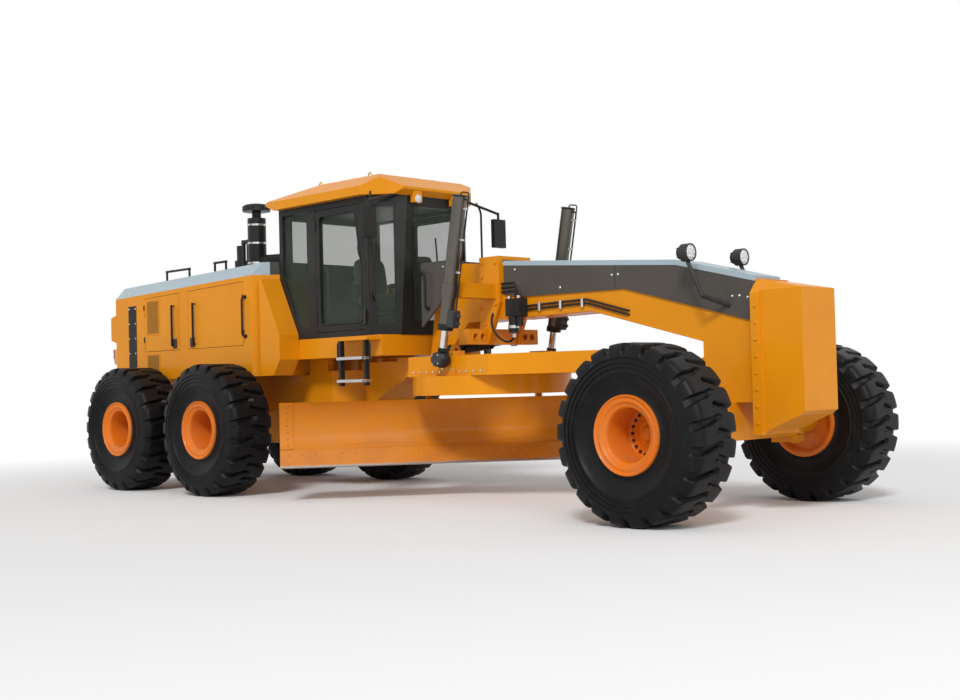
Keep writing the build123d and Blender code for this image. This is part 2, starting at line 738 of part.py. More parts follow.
def cab_glass():
    with BuildPart() as panes:
        low, high, half = WINDSCREEN
        low, high, half = low + SEAT_GAP, high - SEAT_GAP, half - SEAT_GAP
        back = CAB_WALL / 2 + GLASS / 2
        prism_xz(
            [
                (cab_front_at(low) - back, low),
                (cab_front_at(low) - back + GLASS, low),
                (cab_front_at(high) - back + GLASS, high),
                (cab_front_at(high) - back, high),
            ],
            -half, half,
        )
        low, high, half = REAR_PANE
        x = CAB_REAR + CAB_WALL / 2
        block(
            (x - GLASS / 2, SEAT_GAP - half, low + SEAT_GAP),
            (x + GLASS / 2, half - SEAT_GAP, high - SEAT_GAP),
        )
        for side in (1, -1):
            y = side * (CAB_HALF_WIDTH - CAB_WALL / 2)
            prism_xz(quarter_outline(SEAT_GAP), y - GLASS / 2, y + GLASS / 2)
            corner_pane(side, SEAT_GAP, GLASS, 30)
    return panes.part


def pane_outline():
    return [
        (DOOR_REAR + 80, DOOR_LOW + 90),
        (DOOR_FRONT - 80, DOOR_LOW + 90),
        (DOOR_FRONT - 80, CAB_KNEE + 40),
        (DOOR_FRONT - 180, DOOR_HIGH - 80),
        (DOOR_REAR + 80, DOOR_HIGH - 80),
    ]


def cab_door(side):
    y_low, y_high = sorted((side * (CAB_HALF_WIDTH - CAB_WALL), side * CAB_HALF_WIDTH))
    with BuildPart() as door:
        prism_xz(side_door_outline(SWING_GAP), y_low, y_high)
        prism_xz(pane_outline(), y_low - 1, y_high + 1, Mode.SUBTRACT)
        door_knuckles(DOOR_REAR + SWING_GAP, side * CAB_HALF_WIDTH, DOOR_HINGE_HEIGHTS, True)
    return door.part


def door_glass(side):
    y = side * (CAB_HALF_WIDTH - CAB_WALL / 2)
    with BuildPart() as pane:
        prism_xz(pane_outline(), y - GLASS / 2, y + GLASS / 2)
    return pane.part


def cab_roof():
    wide = CAB_HALF_WIDTH + ROOF_OVERHANG
    rear, front = CAB_REAR - ROOF_REAR_OVERHANG, CAB_FRONT_TOP + ROOF_FRONT_OVERHANG
    top = CAB_TOP + ROOF_RISE
    with BuildPart() as roof:
        prism_xz(
            [
                (CAB_REAR, CAB_TOP),
                (front - 80, CAB_TOP),
                (front, CAB_TOP + 60),
                (front, CAB_TOP + 90),
                (front - 280, top - 10),
                (rear + 870, top),
                (rear, CAB_TOP + 110),
                (rear, CAB_TOP + 80),
            ],
            -wide, wide,
        )
        prism_xy(
            both_sides([(rear, wide - 60), (rear + 300, wide), (CAB_CORNER, wide), (front, wide - 350)]),
            CAB_TOP, top + 40, Mode.INTERSECT,
        )
        for side in (1, -1):
            prism_yz(
                [
                    (side * (wide + 5), CAB_TOP + 100),
                    (side * (wide - 260), top + 5),
                    (side * (wide + 5), top + 5),
                ],
                rear - 10, front + 10, Mode.SUBTRACT,
            )
        for side in (1, -1):
            for (x_low, x_high), y_lamp in (((CAB_FRONT_TOP + 10, CAB_FRONT_TOP + 70), 310),
                                            ((CAB_REAR - 110, CAB_REAR - 50), 520)):
                block(
                    (x_low, side * y_lamp - ROOF_LAMP / 2, CAB_TOP - 85),
                    (x_high, side * y_lamp + ROOF_LAMP / 2, CAB_TOP + 80),
                )
    return roof.part


def cab_base():
    wide = HOOD_HALF_WIDTH
    rear, front = CAB_REAR - 30, CAB_FRONT_FOOT - 10
    with BuildPart() as base:
        block((CAB_REAR + 80, -CAB_HALF_WIDTH, BASE_LOW), (front, CAB_HALF_WIDTH, CAB_FLOOR))
        for side in (1, -1):
            y_low, y_high = sorted((side * (CAB_HALF_WIDTH + 10), side * wide))
            prism_xz(
                [
                    (rear, HOOD_BOTTOM),
                    (rear, CAB_KNEE),
                    (rear + 40, CAB_KNEE),
                    (CAB_REAR_FOOT, CAB_FLOOR + 60),
                    (CAB_REAR_FOOT, BASE_LOW), (CAB_REAR_FOOT - 130, HOOD_BOTTOM),
                ],
                y_low, y_high,
            )
            inner, outer = sorted((side * (CAB_HALF_WIDTH - 10), side * wide))
            block((CAB_REAR + 80, inner, BASE_LOW), (CAB_REAR_FOOT, outer, CAB_FLOOR - 60))
            inner, outer = sorted((side * (CAB_HALF_WIDTH - 10), side * (CAB_HALF_WIDTH + DECK_REACH)))
            deck_low = CAB_FLOOR - 60
            block((CAB_CORNER - 420, inner, deck_low), (CAB_CORNER + 200, outer, deck_low + DECK_THICKNESS))
        for side in (1, -1):
            y_low, y_high = sorted((side * RAIL_INNER, side * RAIL_OUTER))
            block((CAB_REAR + 100, y_low, RAIL_HIGH), (X_HITCH - 335, y_high, BASE_LOW))
    return base.part


def seat():
    x = DOOR_REAR + 60
    floor = CAB_FLOOR + CAB_WALL
    cushion_top, back_top = floor + SEAT_LEVEL, CAB_TOP - SEAT_HEADROOM
    cushion_low = cushion_top - SEAT_CUSHION
    back_half_width = SEAT_HALF_WIDTH - 30
    with BuildPart() as chair:
        block((x + 60, -180, floor), (x + 380, 180, cushion_low))
        block((x, -SEAT_HALF_WIDTH, cushion_low), (x + SEAT_DEPTH, SEAT_HALF_WIDTH, cushion_top))
        prism_xz(
            [(x, cushion_top), (x + 130, cushion_top), (x + 20, back_top), (x - 90, back_top)],
            -back_half_width, back_half_width,
        )
        for y in (-SEAT_HALF_WIDTH - ARMREST_WIDTH, SEAT_HALF_WIDTH):
            block((x + 20, y, cushion_top - 70), (x + 430, y + ARMREST_WIDTH, cushion_top + 170))
    return chair.part


def steering_console():
    floor = CAB_FLOOR + CAB_WALL
    x = CAB_CORNER + 30
    with BuildPart() as console:
        block((x, -140, floor), (x + 130, 140, floor + 90))
        rod((x + 60, 0, floor + 60), (x - 80, 0, floor + 800), 55)
        rod((x - 80, 0, floor + 790), (x - 86, 0, floor + 825), 190)
    return console.part


def ladders():
    post_length, post_width = LADDER_POST
    x_low = CAB_CORNER - 320
    x_high = x_low + LADDER_WIDTH
    outer = CAB_HALF_WIDTH + DECK_REACH - 10
    inner = outer - post_width
    with BuildPart() as steps:
        for side in (1, -1):
            y_low, y_high = sorted((side * inner, side * outer))
            for x in (x_low, x_high):
                block((x, y_low, LADDER_LOW), (x + post_length, y_high, CAB_FLOOR - 60))
            for z in STEP_HEIGHTS:
                y_step, y_back = sorted((side * (outer + 40), side * (inner - 40)))
                block((x_low + 10, y_step, z), (x_high + 30, y_back, z + STEP_THICKNESS))
    return steps.part


def mirrors():
    x, z = CAB_FRONT_TOP + 40, CAB_TOP - 540
    wide = CAB_HALF_WIDTH + 100
    with BuildPart() as pair:
        for side in (1, -1):
            rod((CAB_FRONT_TOP - 40, side * 470, CAB_TOP + 30), (x, side * 1060, CAB_TOP - 120), 16)
            rod((x, side * 1060, CAB_TOP - 105), (x, side * 1060, z + 150), 16)
            y_low, y_high = sorted((side * (wide + 60), side * (wide + 260)))
            block((x - 30, y_low, z), (x + 30, y_high, z + 350))
        add(cab_roof(), mode=Mode.SUBTRACT)
    return pair.part


HANDRAIL_SPANS = ((X_MID_AXLE - 1900, X_MID_AXLE - 1350), (X_MID_AXLE - 750, X_MID_AXLE - 500))


def top_handrails():
    with BuildPart() as rails:
        for side in (1, -1):
            y = side * (HOOD_HALF_WIDTH - COVER_INSET - 40)
            for x_low, x_high in HANDRAIL_SPANS:
                top = hood_top_at(x_high) + COVER_HEIGHT + 110
                for x in (x_low, x_high):
                    block((x - 11, y - 11, top - 180), (x + 11, y + 11, top))
                rod((x_low - 16, y, top), (x_high + 16, y, top), 16)
            cover_trim(X_MID_AXLE - 1200, y, 900)
    return rails.part


# Front frame, its covers and what it carries at the nose
def frame_top_at(x):
    """Height of the gooseneck's upper edge above a place along the machine."""
    for (x0, z0), (x1, z1) in zip(FRAME_TOP, FRAME_TOP[1:]):
        if x <= x1:
            return z0 + (x - x0) * (z1 - z0) / (x1 - x0)
    return FRAME_TOP[-1][1]


def front_frame():
    m = X_MID_AXLE
    fork_low = TONGUE_LOW - SWING_GAP - FORK_THICKNESS
    fork_high = TONGUE_HIGH + SWING_GAP + FORK_THICKNESS
    with BuildPart() as frame:
        prism_xz(
            [
                *FRAME_TOP, (NOSE_FRONT, NOSE_LOW), (NOSE_BACK, NOSE_LOW), (NOSE_BACK, 1640),
                (m + 5010, 2010), (m + 3200, 1980), (m + 2960, 1740), (m + 2720, 1540),
                (m + 2560, 1540), (m + 2560, 1620), (m + 2590, 1750),
            ],
            -FRAME_HALF_WIDTH, FRAME_HALF_WIDTH,
        )
        prism_xz(
            [
                (m + 2720, 1540), (m + 2580, 1620), (m + 2560, fork_high), (X_HITCH + 220, fork_high),
                (X_HITCH + 220, fork_low), (X_HITCH + 300, fork_low), (X_HITCH + 420, fork_low + 176),
                (m + 2050, 1300), (m + 2160, 1330),
                (m + 2360, 1470),
            ],
            -LEG_HALF_WIDTH, LEG_HALF_WIDTH,
        )
        for low in (fork_low, fork_high - FORK_THICKNESS):
            prism_xy(
                both_sides([(X_HITCH, 150), (X_HITCH + 240, LEG_HALF_WIDTH)]), low, low + FORK_THICKNESS
            )
            rod((X_HITCH, 0, low), (X_HITCH, 0, low + FORK_THICKNESS), 150)
            hole = HITCH_PIN_RADIUS + RUNNING_GAP
            rod((X_HITCH, 0, low - 1), (X_HITCH, 0, low + FORK_THICKNESS + 1), hole, Mode.SUBTRACT)
        for y in (-110, 60):
            prism_xz(
                [
                    (NOSE_BACK + 5, Z_DRAWBAR_PIN + 160), (X_DRAWBAR_PIN - 60, Z_DRAWBAR_PIN + 90),
                    (X_DRAWBAR_PIN - 100, Z_DRAWBAR_PIN), (X_DRAWBAR_PIN - 60, Z_DRAWBAR_PIN - 90),
                    (NOSE_BACK + 5, Z_DRAWBAR_PIN - 160),
                ],
                y, y + 50,
            )
        hole = DRAWBAR_PIN_RADIUS + RUNNING_GAP
        rod(
            (X_DRAWBAR_PIN, -120, Z_DRAWBAR_PIN), (X_DRAWBAR_PIN, 120, Z_DRAWBAR_PIN), hole, Mode.SUBTRACT
        )
    return frame.part


def frame_cover():
    m = X_MID_AXLE
    start, wide = m + 3780, FRAME_HALF_WIDTH
    tops = [(start, frame_top_at(start)), *FRAME_TOP[2:]]
    lower = [(NOSE_FRONT, 1800), (m + 5450, 2210), (m + 4070, 2220), (start, 2260)]
    with BuildPart() as cover:
        prism_xz([(x, z + COVER_LIFT) for x, z in tops] + lower, -wide - COVER_SHEET, wide + COVER_SHEET)
        prism_xz(
            [
                (start - 1, frame_top_at(start - 1)), tops[1], (NOSE_FRONT + 1, FRAME_TOP[-1][1]),
                (NOSE_FRONT + 1, COVER_CUT_LOW), (start - 1, COVER_CUT_LOW),
            ],
            -wide, wide, Mode.SUBTRACT,
        )
    return cover.part


def side_panels():
    m, wide, high = X_MID_AXLE, COWL_HALF_WIDTH, COWL_HIGH
    with BuildPart() as cowl:
        prism_xz(
            [(m + 2640, high), (m + 3050, high), (m + 3050, 2330), (m + 2930, 2190), (m + 2640, 1950)],
            -wide, wide,
        )
        inner = wide - COWL_SHEET
        block((m + 2600, -inner, 1900), (m + 3080, inner, high - COWL_SHEET), Mode.SUBTRACT)
    return cowl.part


def push_block():
    wide, x0, x1 = PUSH_HALF_WIDTH, NOSE_FRONT, X_NOSE
    plate_wide, root = wide + PUSH_FLANGE, x0 + PUSH_PLATE - 10
    with BuildPart() as weight:
        block((x0, -plate_wide, PUSH_LOW), (x0 + PUSH_PLATE, plate_wide, PUSH_HIGH))
        prism_xz(
            [
                (root, PUSH_HIGH - 10),
                (x1, PUSH_FACE_HIGH),
                (x1, PUSH_FACE_LOW),
                (x1 - 60, PUSH_FACE_LOW - 40),
                (root, PUSH_LOW + 20),
            ],
            -wide, wide,
        )
        for side in (1, -1):
            prism_yz(
                [
                    (side * (wide + 30), PUSH_HIGH - 140),
                    (side * (wide - 110), PUSH_HIGH + 10),
                    (side * (wide + 30), PUSH_HIGH + 10),
                ],
                x0 - 1, x1 + 1, Mode.SUBTRACT,
            )
    return weight.part


def saddle():
    x0, x1 = SADDLE_BACK, SADDLE_BACK + SADDLE_LENGTH
    bar_back, bar_front = x0 - 50, x0 + 110
    plate = FRAME_HALF_WIDTH + SADDLE_PLATE
    reach = PAD_FACE - 20
    with BuildPart() as yoke:
        for side in (1, -1):
            inner, outer = sorted((side * FRAME_HALF_WIDTH, side * plate))
            prism_xz(
                [
                    (bar_back, LOCK_BAR_LOW),
                    (bar_front, LOCK_BAR_LOW),
                    (x1, 2180),
                    (x1, SADDLE_HIGH),
                    (x0, SADDLE_HIGH),
                    (x0, 2000),
                ],
                inner, outer,
            )
            tip_low, tip_high = sorted((side * (plate - 10), side * reach))
            x, z = TRUNNION
            block((x - 90, tip_low, z - 80), (x + 90, tip_high, z + 80))
            bore = 40 + RUNNING_GAP
            rod((x, side * (reach - 90), z), (x, side * (reach + 5), z), bore, Mode.SUBTRACT)
        block((x0, -plate, SADDLE_HIGH - 40), (x1, plate, SADDLE_HIGH))
        block(
            (bar_back, -LOCK_BAR_HALF_WIDTH, LOCK_BAR_LOW), (bar_front, LOCK_BAR_HALF_WIDTH, LOCK_BAR_HIGH)
        )
        level = (LOCK_BAR_LOW + LOCK_BAR_HIGH) / 2
        for y in LOCK_HOLES:
            rod((bar_back - 10, y, level), (bar_front + 10, y, level), LOCK_HOLE_RADIUS, Mode.SUBTRACT)
    return yoke.part


def work_lamps():
    x, z = X_FRONT_AXLE - 220, LAMP_HEIGHT
    with BuildPart() as pair:
        for side in (1, -1):
            y = side * LAMP_HALF_SPAN
            rod((x - 20, y, z), (x + 70, y, z), LAMP_RADIUS)
            rod((x - 60, y, z), (x + 10, y, z), LAMP_RADIUS - 25)
            rod((x + 58, y, z), (x + 71, y, z), LAMP_RADIUS - 10, Mode.SUBTRACT)
            elbow = (x + 180, y, z - 420)
            rod((x, y, z - 20), elbow, LAMP_STALK_RADIUS)
            rod(elbow, (x + 330, side * FRAME_HALF_WIDTH, z - 520), LAMP_STALK_RADIUS + 2)
            with Locations(elbow):
                Sphere(LAMP_STALK_RADIUS + 4)
        wide = FRAME_HALF_WIDTH + COVER_SHEET
        block((x, -wide, z - 700), (x + 500, wide, z), Mode.SUBTRACT)
    return pair.part


def hydraulic_filters():
    x = X_MID_AXLE + 3900
    wide = FRAME_HALF_WIDTH
    with BuildPart() as unit:
        low = FILTER_BLOCK_HIGH - 190
        y = FILTER_RADIUS + 20 + wide
        block((x, -wide - FILTER_REACH, low), (x + FILTER_BLOCK_LENGTH, -wide, FILTER_BLOCK_HIGH))
        rod((x + 70, -y, FILTER_LOW), (x + 70, -y, low + 20), FILTER_RADIUS)
        rod((x + 165, -y, FILTER_LOW + 70), (x + 165, -y, low + 20), FILTER_RADIUS - 17)
    return unit.part


# Drawbar, circle, blade bracket and blade. The last three are drawn square to the machine
# about the circle's centre, and then turned together to the blade's working angle.
def turned(shape):
    """Places a piece drawn about the circle's centre at the blade's working angle."""
    return shape.moved(Location((X_CIRCLE, 0, 0), (0, 0, -BLADE_YAW)))


def drawbar():
    rear, waist = X_CIRCLE - 550, X_CIRCLE + 700
    top = PLATE_LOW + PLATE_THICKNESS
    with BuildPart() as bar:
        prism_xy(
            both_sides(
                [
                    (rear, PLATE_HALF_WIDTH),
                    (waist, PLATE_HALF_WIDTH),
                    (X_DRAWBAR_PIN - 500, 150),
                    (X_DRAWBAR_PIN - 260, 50),
                ]
            ),
            PLATE_LOW, top,
        )
        rod((X_CIRCLE, 0, PLATE_LOW - 1), (X_CIRCLE, 0, top + 1), PLATE_BORE, Mode.SUBTRACT)
        for side in (1, -1):
            y_low, y_high = sorted((side * BEAM_INNER, side * BEAM_OUTER))
            block((rear + 10, y_low, PLATE_LOW), (waist, y_high, BEAM_TOP))
            prism_xy(
                [
                    (waist - 5, side * BEAM_OUTER), (waist - 5, side * BEAM_INNER),
                    (X_DRAWBAR_PIN - 420, side * 10), (X_DRAWBAR_PIN - 420, side * 130),
                ],
                PLATE_LOW, BEAM_TOP,
            )
            pad_low, pad_high = sorted((side * 640, side * PAD_FACE))
            block((LIFT_BALL[0] - 110, pad_low, PLATE_LOW), (LIFT_BALL[0] + 110, pad_high, LIFT_BALL[1] + 90))
        prism_xz(
            [
                (X_DRAWBAR_PIN - 470, PLATE_LOW), (X_DRAWBAR_PIN - 470, BEAM_TOP),
                (X_DRAWBAR_PIN - 330, BEAM_TOP - 20), (X_DRAWBAR_PIN, Z_DRAWBAR_PIN + 80),
                (X_DRAWBAR_PIN + 80, Z_DRAWBAR_PIN), (X_DRAWBAR_PIN, Z_DRAWBAR_PIN - 80),
            ],
            -50, 50,
        )
        rod((X_DRAWBAR_PIN, -118, Z_DRAWBAR_PIN), (X_DRAWBAR_PIN, 118, Z_DRAWBAR_PIN), DRAWBAR_PIN_RADIUS)
        block((X_SHIFT - 60, -640, top), (X_SHIFT + 60, -500, BEAM_TOP))
        rod((X_SHIFT - 60, -570, BEAM_TOP + 60), (X_SHIFT + 60, -570, BEAM_TOP + 60), 70)
        block((X_SHIFT - 60, -640, BEAM_TOP - 5), (X_SHIFT + 60, -500, BEAM_TOP + 60))
        block((X_SHIFT - 38, -660, top + 90), (X_SHIFT + 38, -490, BEAM_TOP + 140), Mode.SUBTRACT)
        rod((X_SHIFT - 61, -570, BEAM_TOP + 60), (X_SHIFT + 61, -570, BEAM_TOP + 60), 25.05, Mode.SUBTRACT)
    return bar.part


def shift_cylinder():
    base = (X_SHIFT, -570, BEAM_TOP + 60)
    eye = (X_SHIFT, 430, BEAM_TOP + 175)
    run = Vector(*eye) - Vector(*base)
    half = Vector(*base) + run * 0.62
    with BuildPart() as cylinder:
        rod((X_SHIFT - 30, base[1], base[2]), (X_SHIFT + 30, base[1], base[2]), 62)
        rod((X_SHIFT - 58, base[1], base[2]), (X_SHIFT + 58, base[1], base[2]), 25)
        start = Vector(*base) + run * 0.16
        rod(base, tuple(start), 30)
        rod(tuple(start), tuple(half), 55)
        rod(tuple(half), eye, 30)
        rod((X_SHIFT - 30, eye[1], eye[2]), (X_SHIFT + 30, eye[1], eye[2]), 62)
    return cylinder.part


def circle():
    leg_low, leg_high = 620, 690
    x, z = TIP_PIVOT
    with BuildPart() as ring:
        rod((0, 0, CIRCLE_LOW), (0, 0, PLATE_LOW - SEAT_GAP), CIRCLE_RADIUS)
        rod((0, 0, CIRCLE_LOW - 1), (0, 0, PLATE_LOW), CIRCLE_BORE, Mode.SUBTRACT)
        for side in (1, -1):
            y_low, y_high = sorted((side * leg_low, side * leg_high))
            prism_xz(
                [
                    (x + 10, CIRCLE_LOW + 40), (x + 25, z + 310), (x + 75, z + 60), (x + 78, z),
                    (x, z - 78), (x - 78, z), (x - 60, z + 150), (x - 90, CIRCLE_LOW + 40),
                ],
                y_low, y_high,
            )
            block((x - 90, y_low, CIRCLE_LOW), (-380, y_high, CIRCLE_LOW + 40))
            hole = TIP_PIN_RADIUS + RUNNING_GAP
            rod((x, y_low - 1, z), (x, y_high + 1, z), hole, Mode.SUBTRACT)
    return turned(ring.part)


def blade_bracket():
    x, z = TIP_PIVOT
    with BuildPart() as bracket:
        for side in (1, -1):
            y_low, y_high = sorted((side * 490, side * 610))
            prism_xz(
                [
                    (x - 100, 540), (x - 60, 518), (-470, 518), (-470, 554), (-566, 554), (-566, 1046),
                    (-470, 1046),
                    (-470, 1082), (x + 20, 1082), (x - 20, 1000), (x - 100, 760),
                ],
                y_low, y_high,
            )
            for low in (570, 970):
                block((-570, y_low, low), (-560 - SEAT_GAP, y_high, low + 60))
            pin_low, pin_high = sorted((side * 600, side * 690))
            rod((x, pin_low, z), (x, pin_high, z), TIP_PIN_RADIUS)
        rod((x - 20, -500, z + 60), (x - 20, 500, z + 60), 50)
    return turned(bracket.part)


EDGE_UP = (-0.6, 0.8)
EDGE_BACK = (-0.8, -0.6)


def along_edge(run, back):
    """A point in the blade's section, up along the cutting edge from its tip and back from its face."""
    return tuple(EDGE_TIP[i] + run * EDGE_UP[i] + back * EDGE_BACK[i] for i in (0, 1))


ARC_START = along_edge(EDGE_LENGTH, EDGE_THICKNESS)
ARC_CENTRE = (ARC_START[0] - BLADE_RADIUS * EDGE_BACK[0], ARC_START[1] - BLADE_RADIUS * EDGE_BACK[1])


def on_arc(radius, z):
    """The point at a height on the blade's back-curving arc."""
    return (ARC_CENTRE[0] - (radius ** 2 - (z - ARC_CENTRE[1]) ** 2) ** 0.5, z)


def moldboard():
    y_high = BLADE_SHIFT + BLADE_LENGTH / 2
    outside = BLADE_RADIUS + BLADE_THICKNESS
    flat_low = along_edge(EDGE_OVERHANG, EDGE_THICKNESS)
    back_low = along_edge(EDGE_OVERHANG, EDGE_THICKNESS + BLADE_THICKNESS)
    back_arc = along_edge(EDGE_LENGTH, EDGE_THICKNESS + BLADE_THICKNESS)
    middle = ARC_CENTRE[1]
    with BuildPart() as board:
        with BuildSketch(Plane.XZ.offset(-y_high)) as section:
            with BuildLine():
                Line(flat_low, ARC_START)
                ThreePointArc(ARC_START, on_arc(BLADE_RADIUS, middle), on_arc(BLADE_RADIUS, BLADE_TOP))
                Line(on_arc(BLADE_RADIUS, BLADE_TOP), on_arc(outside, BLADE_TOP))
                ThreePointArc(on_arc(outside, BLADE_TOP), on_arc(outside, middle), back_arc)
                Line(back_arc, back_low)
                Line(back_low, flat_low)
            make_face()
        extrude(section.sketch, amount=BLADE_LENGTH, dir=(0, -1, 0))
        for low, high in ((560, 640), (960, 1040)):
            front = on_arc(outside, (low + high) / 2)[0] + 12
            block((-560, BLADE_SHIFT - 1450, low), (front, BLADE_SHIFT + 1450, high))
    return turned(board.part)


def cutting_edge():
    y_high = BLADE_SHIFT + BLADE_LENGTH / 2
    with BuildPart() as edge:
        prism_xz(
            [EDGE_TIP, along_edge(EDGE_LENGTH, 0), along_edge(EDGE_LENGTH, EDGE_THICKNESS),
             along_edge(0, EDGE_THICKNESS)],
            y_high - BLADE_LENGTH, y_high,
        )
    return turned(edge.part)


# Lift cylinders: a barrel on a trunnion and a rod that ends in a ball beside the drawbar
LIFT_RUN = hypot(TRUNNION[0] - LIFT_BALL[0], TRUNNION[1] - LIFT_BALL[1])
LIFT_UP = ((TRUNNION[0] - LIFT_BALL[0]) / LIFT_RUN, (TRUNNION[1] - LIFT_BALL[1]) / LIFT_RUN)


def on_lift(side, distance):
    """A point on a lift cylinder's centre line, up from its trunnion."""
    return (TRUNNION[0] + distance * LIFT_UP[0], side * LIFT_HALF_SPAN, TRUNNION[1] + distance * LIFT_UP[1])


def lift_barrel(side):
    with BuildPart() as barrel:
        rod(on_lift(side, -428), on_lift(side, 1019), LIFT_BARREL_RADIUS)
        rod(on_lift(side, -70), on_lift(side, 70), LIFT_BARREL_RADIUS + 15)
        inner = side * (PAD_FACE - 20 - 80)
        rod((TRUNNION[0], inner, TRUNNION[1]), (TRUNNION[0], side * LIFT_HALF_SPAN, TRUNNION[1]), 40)
        rod(on_lift(side, -430), on_lift(side, 1000), LIFT_ROD_RADIUS + RUNNING_GAP, Mode.SUBTRACT)
    return barrel.part


def lift_rod(side):
    x, z = LIFT_BALL
    with BuildPart() as ram:
        rod((x, side * LIFT_HALF_SPAN, z), on_lift(side, 860), LIFT_ROD_RADIUS)
        with Locations((x, side * LIFT_HALF_SPAN, z)):
            Sphere(95)
        low, high = sorted((side * (PAD_FACE + SEAT_GAP), side * (PAD_FACE - 200)))
        block((x - 120, low, z - 120), (x + 120, high, z + 120), Mode.SUBTRACT)
    return ram.part


os.makedirs("parts", exist_ok=True)
for place, (x_wheel, wheel_side) in WHEELS.items():
    save(tyre(x_wheel, wheel_side), f"tyre_{place}")
    save(rim(x_wheel, wheel_side), f"rim_{place}")
for name, sign in (("left", 1), ("right", -1)):
    save(knuckle(sign), f"knuckle_{name}")
    save(tandem_case(sign), f"tandem_{name}")
    save(cab_door(sign), f"cab_door_{name}")
    save(door_glass(sign), f"door_glass_{name}")
    save(lift_barrel(sign), f"lift_barrel_{name}")
    save(lift_rod(sign), f"lift_rod_{name}")
    save(hood_door("rear", HOOD_DOORS["rear"][1] - 120, sign), f"hood_door_rear_{name}")
    save(hood_door("front", HOOD_DOORS["front"][0] + 180, sign), f"hood_door_front_{name}")
PIECES = {
    "front_axle": front_axle,
    "rear_frame": rear_frame,
    "tow_hitch": tow_hitch,
    "rear_axle": rear_axle,
    "hood_shell": hood_shell,
    "hood_cover": hood_cover,
    "engine": engine,
    "rear_grille": rear_grille,
    "tail_lamps": tail_lamps,
    "intake_and_exhaust": intake_and_exhaust,
    "cab_frame": cab_frame,
    "cab_glass": cab_glass,
    "cab_roof": cab_roof,
    "cab_base": cab_base,
    "seat": seat,
    "steering_console": steering_console,
    "ladders": ladders,
    "mirrors": mirrors,
    "top_handrails": top_handrails,
    "front_frame": front_frame,
    "frame_cover": frame_cover,
    "side_panels": side_panels,
    "push_block": push_block,
    "saddle": saddle,
    "work_lamps": work_lamps,
    "hydraulic_filters": hydraulic_filters,
    "drawbar": drawbar,
    "shift_cylinder": shift_cylinder,
    "circle": circle,
    "blade_bracket": blade_bracket,
    "moldboard": moldboard,
    "cutting_edge": cutting_edge,
}
for piece_name, make in PIECES.items():
    save(make(), piece_name)
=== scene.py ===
"""Looks of a six-wheel motor grader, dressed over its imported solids. All places are in metres."""

import json
from math import cos, pi, radians, sin

import bmesh
import bpy
import numpy as np
from mathutils import Matrix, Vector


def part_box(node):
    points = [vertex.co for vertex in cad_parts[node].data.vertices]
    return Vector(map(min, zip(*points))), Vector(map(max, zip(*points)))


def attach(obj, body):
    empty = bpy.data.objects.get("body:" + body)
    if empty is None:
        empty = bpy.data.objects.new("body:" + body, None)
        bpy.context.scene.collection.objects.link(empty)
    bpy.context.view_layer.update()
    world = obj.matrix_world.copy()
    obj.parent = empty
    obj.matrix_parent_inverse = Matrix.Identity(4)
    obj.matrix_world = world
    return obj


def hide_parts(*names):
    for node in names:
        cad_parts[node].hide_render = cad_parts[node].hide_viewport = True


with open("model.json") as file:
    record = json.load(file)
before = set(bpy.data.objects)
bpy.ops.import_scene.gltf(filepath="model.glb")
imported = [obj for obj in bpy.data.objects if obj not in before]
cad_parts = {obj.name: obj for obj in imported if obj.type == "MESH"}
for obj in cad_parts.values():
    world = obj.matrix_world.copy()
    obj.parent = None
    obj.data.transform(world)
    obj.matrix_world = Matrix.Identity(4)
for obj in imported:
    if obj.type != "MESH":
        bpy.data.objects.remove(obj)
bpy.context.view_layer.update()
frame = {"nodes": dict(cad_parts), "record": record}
NODES = frame["nodes"]
SLOT_OF = {row["node"]: row["material_slot"] for row in frame["record"]["subparts"]}
SIDES = {"left": 1, "right": -1}
REAR, FRONT = "rear_frame", "front_frame"
AHEAD, LEFT, UP = np.eye(3)


def low(node):
    """The lowest corner of a solid's box."""
    return np.array(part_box(node)[0])


def high(node):
    """The highest corner of a solid's box."""
    return np.array(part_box(node)[1])


def middle(node):
    """The middle of a solid's box."""
    return (low(node) + high(node)) / 2


def mirrored(place, side):
    """A place on the left side as it is, or its like on the right side."""
    return np.array([1, side, 1]) * place


# Places taken from the solids
WHEEL_PLACES = ["front_left", "front_right", "mid_left", "mid_right", "rear_left", "rear_right"]
X_FRONT_AXLE = middle("tyre_front_left")[0]
X_MID_AXLE = middle("tyre_mid_left")[0]
TYRE_RADIUS = high("tyre_mid_left")[2] / 2
HOOD_SIDE = high("hood_cover")[1]
HOOD_REAR = low("hood_cover")[0]
HOOD_FRONT = high("hood_cover")[0]
CAB_SIDE = high("door_glass_left")[1] + 0.024
ROOF_TOP = high("cab_roof")[2]


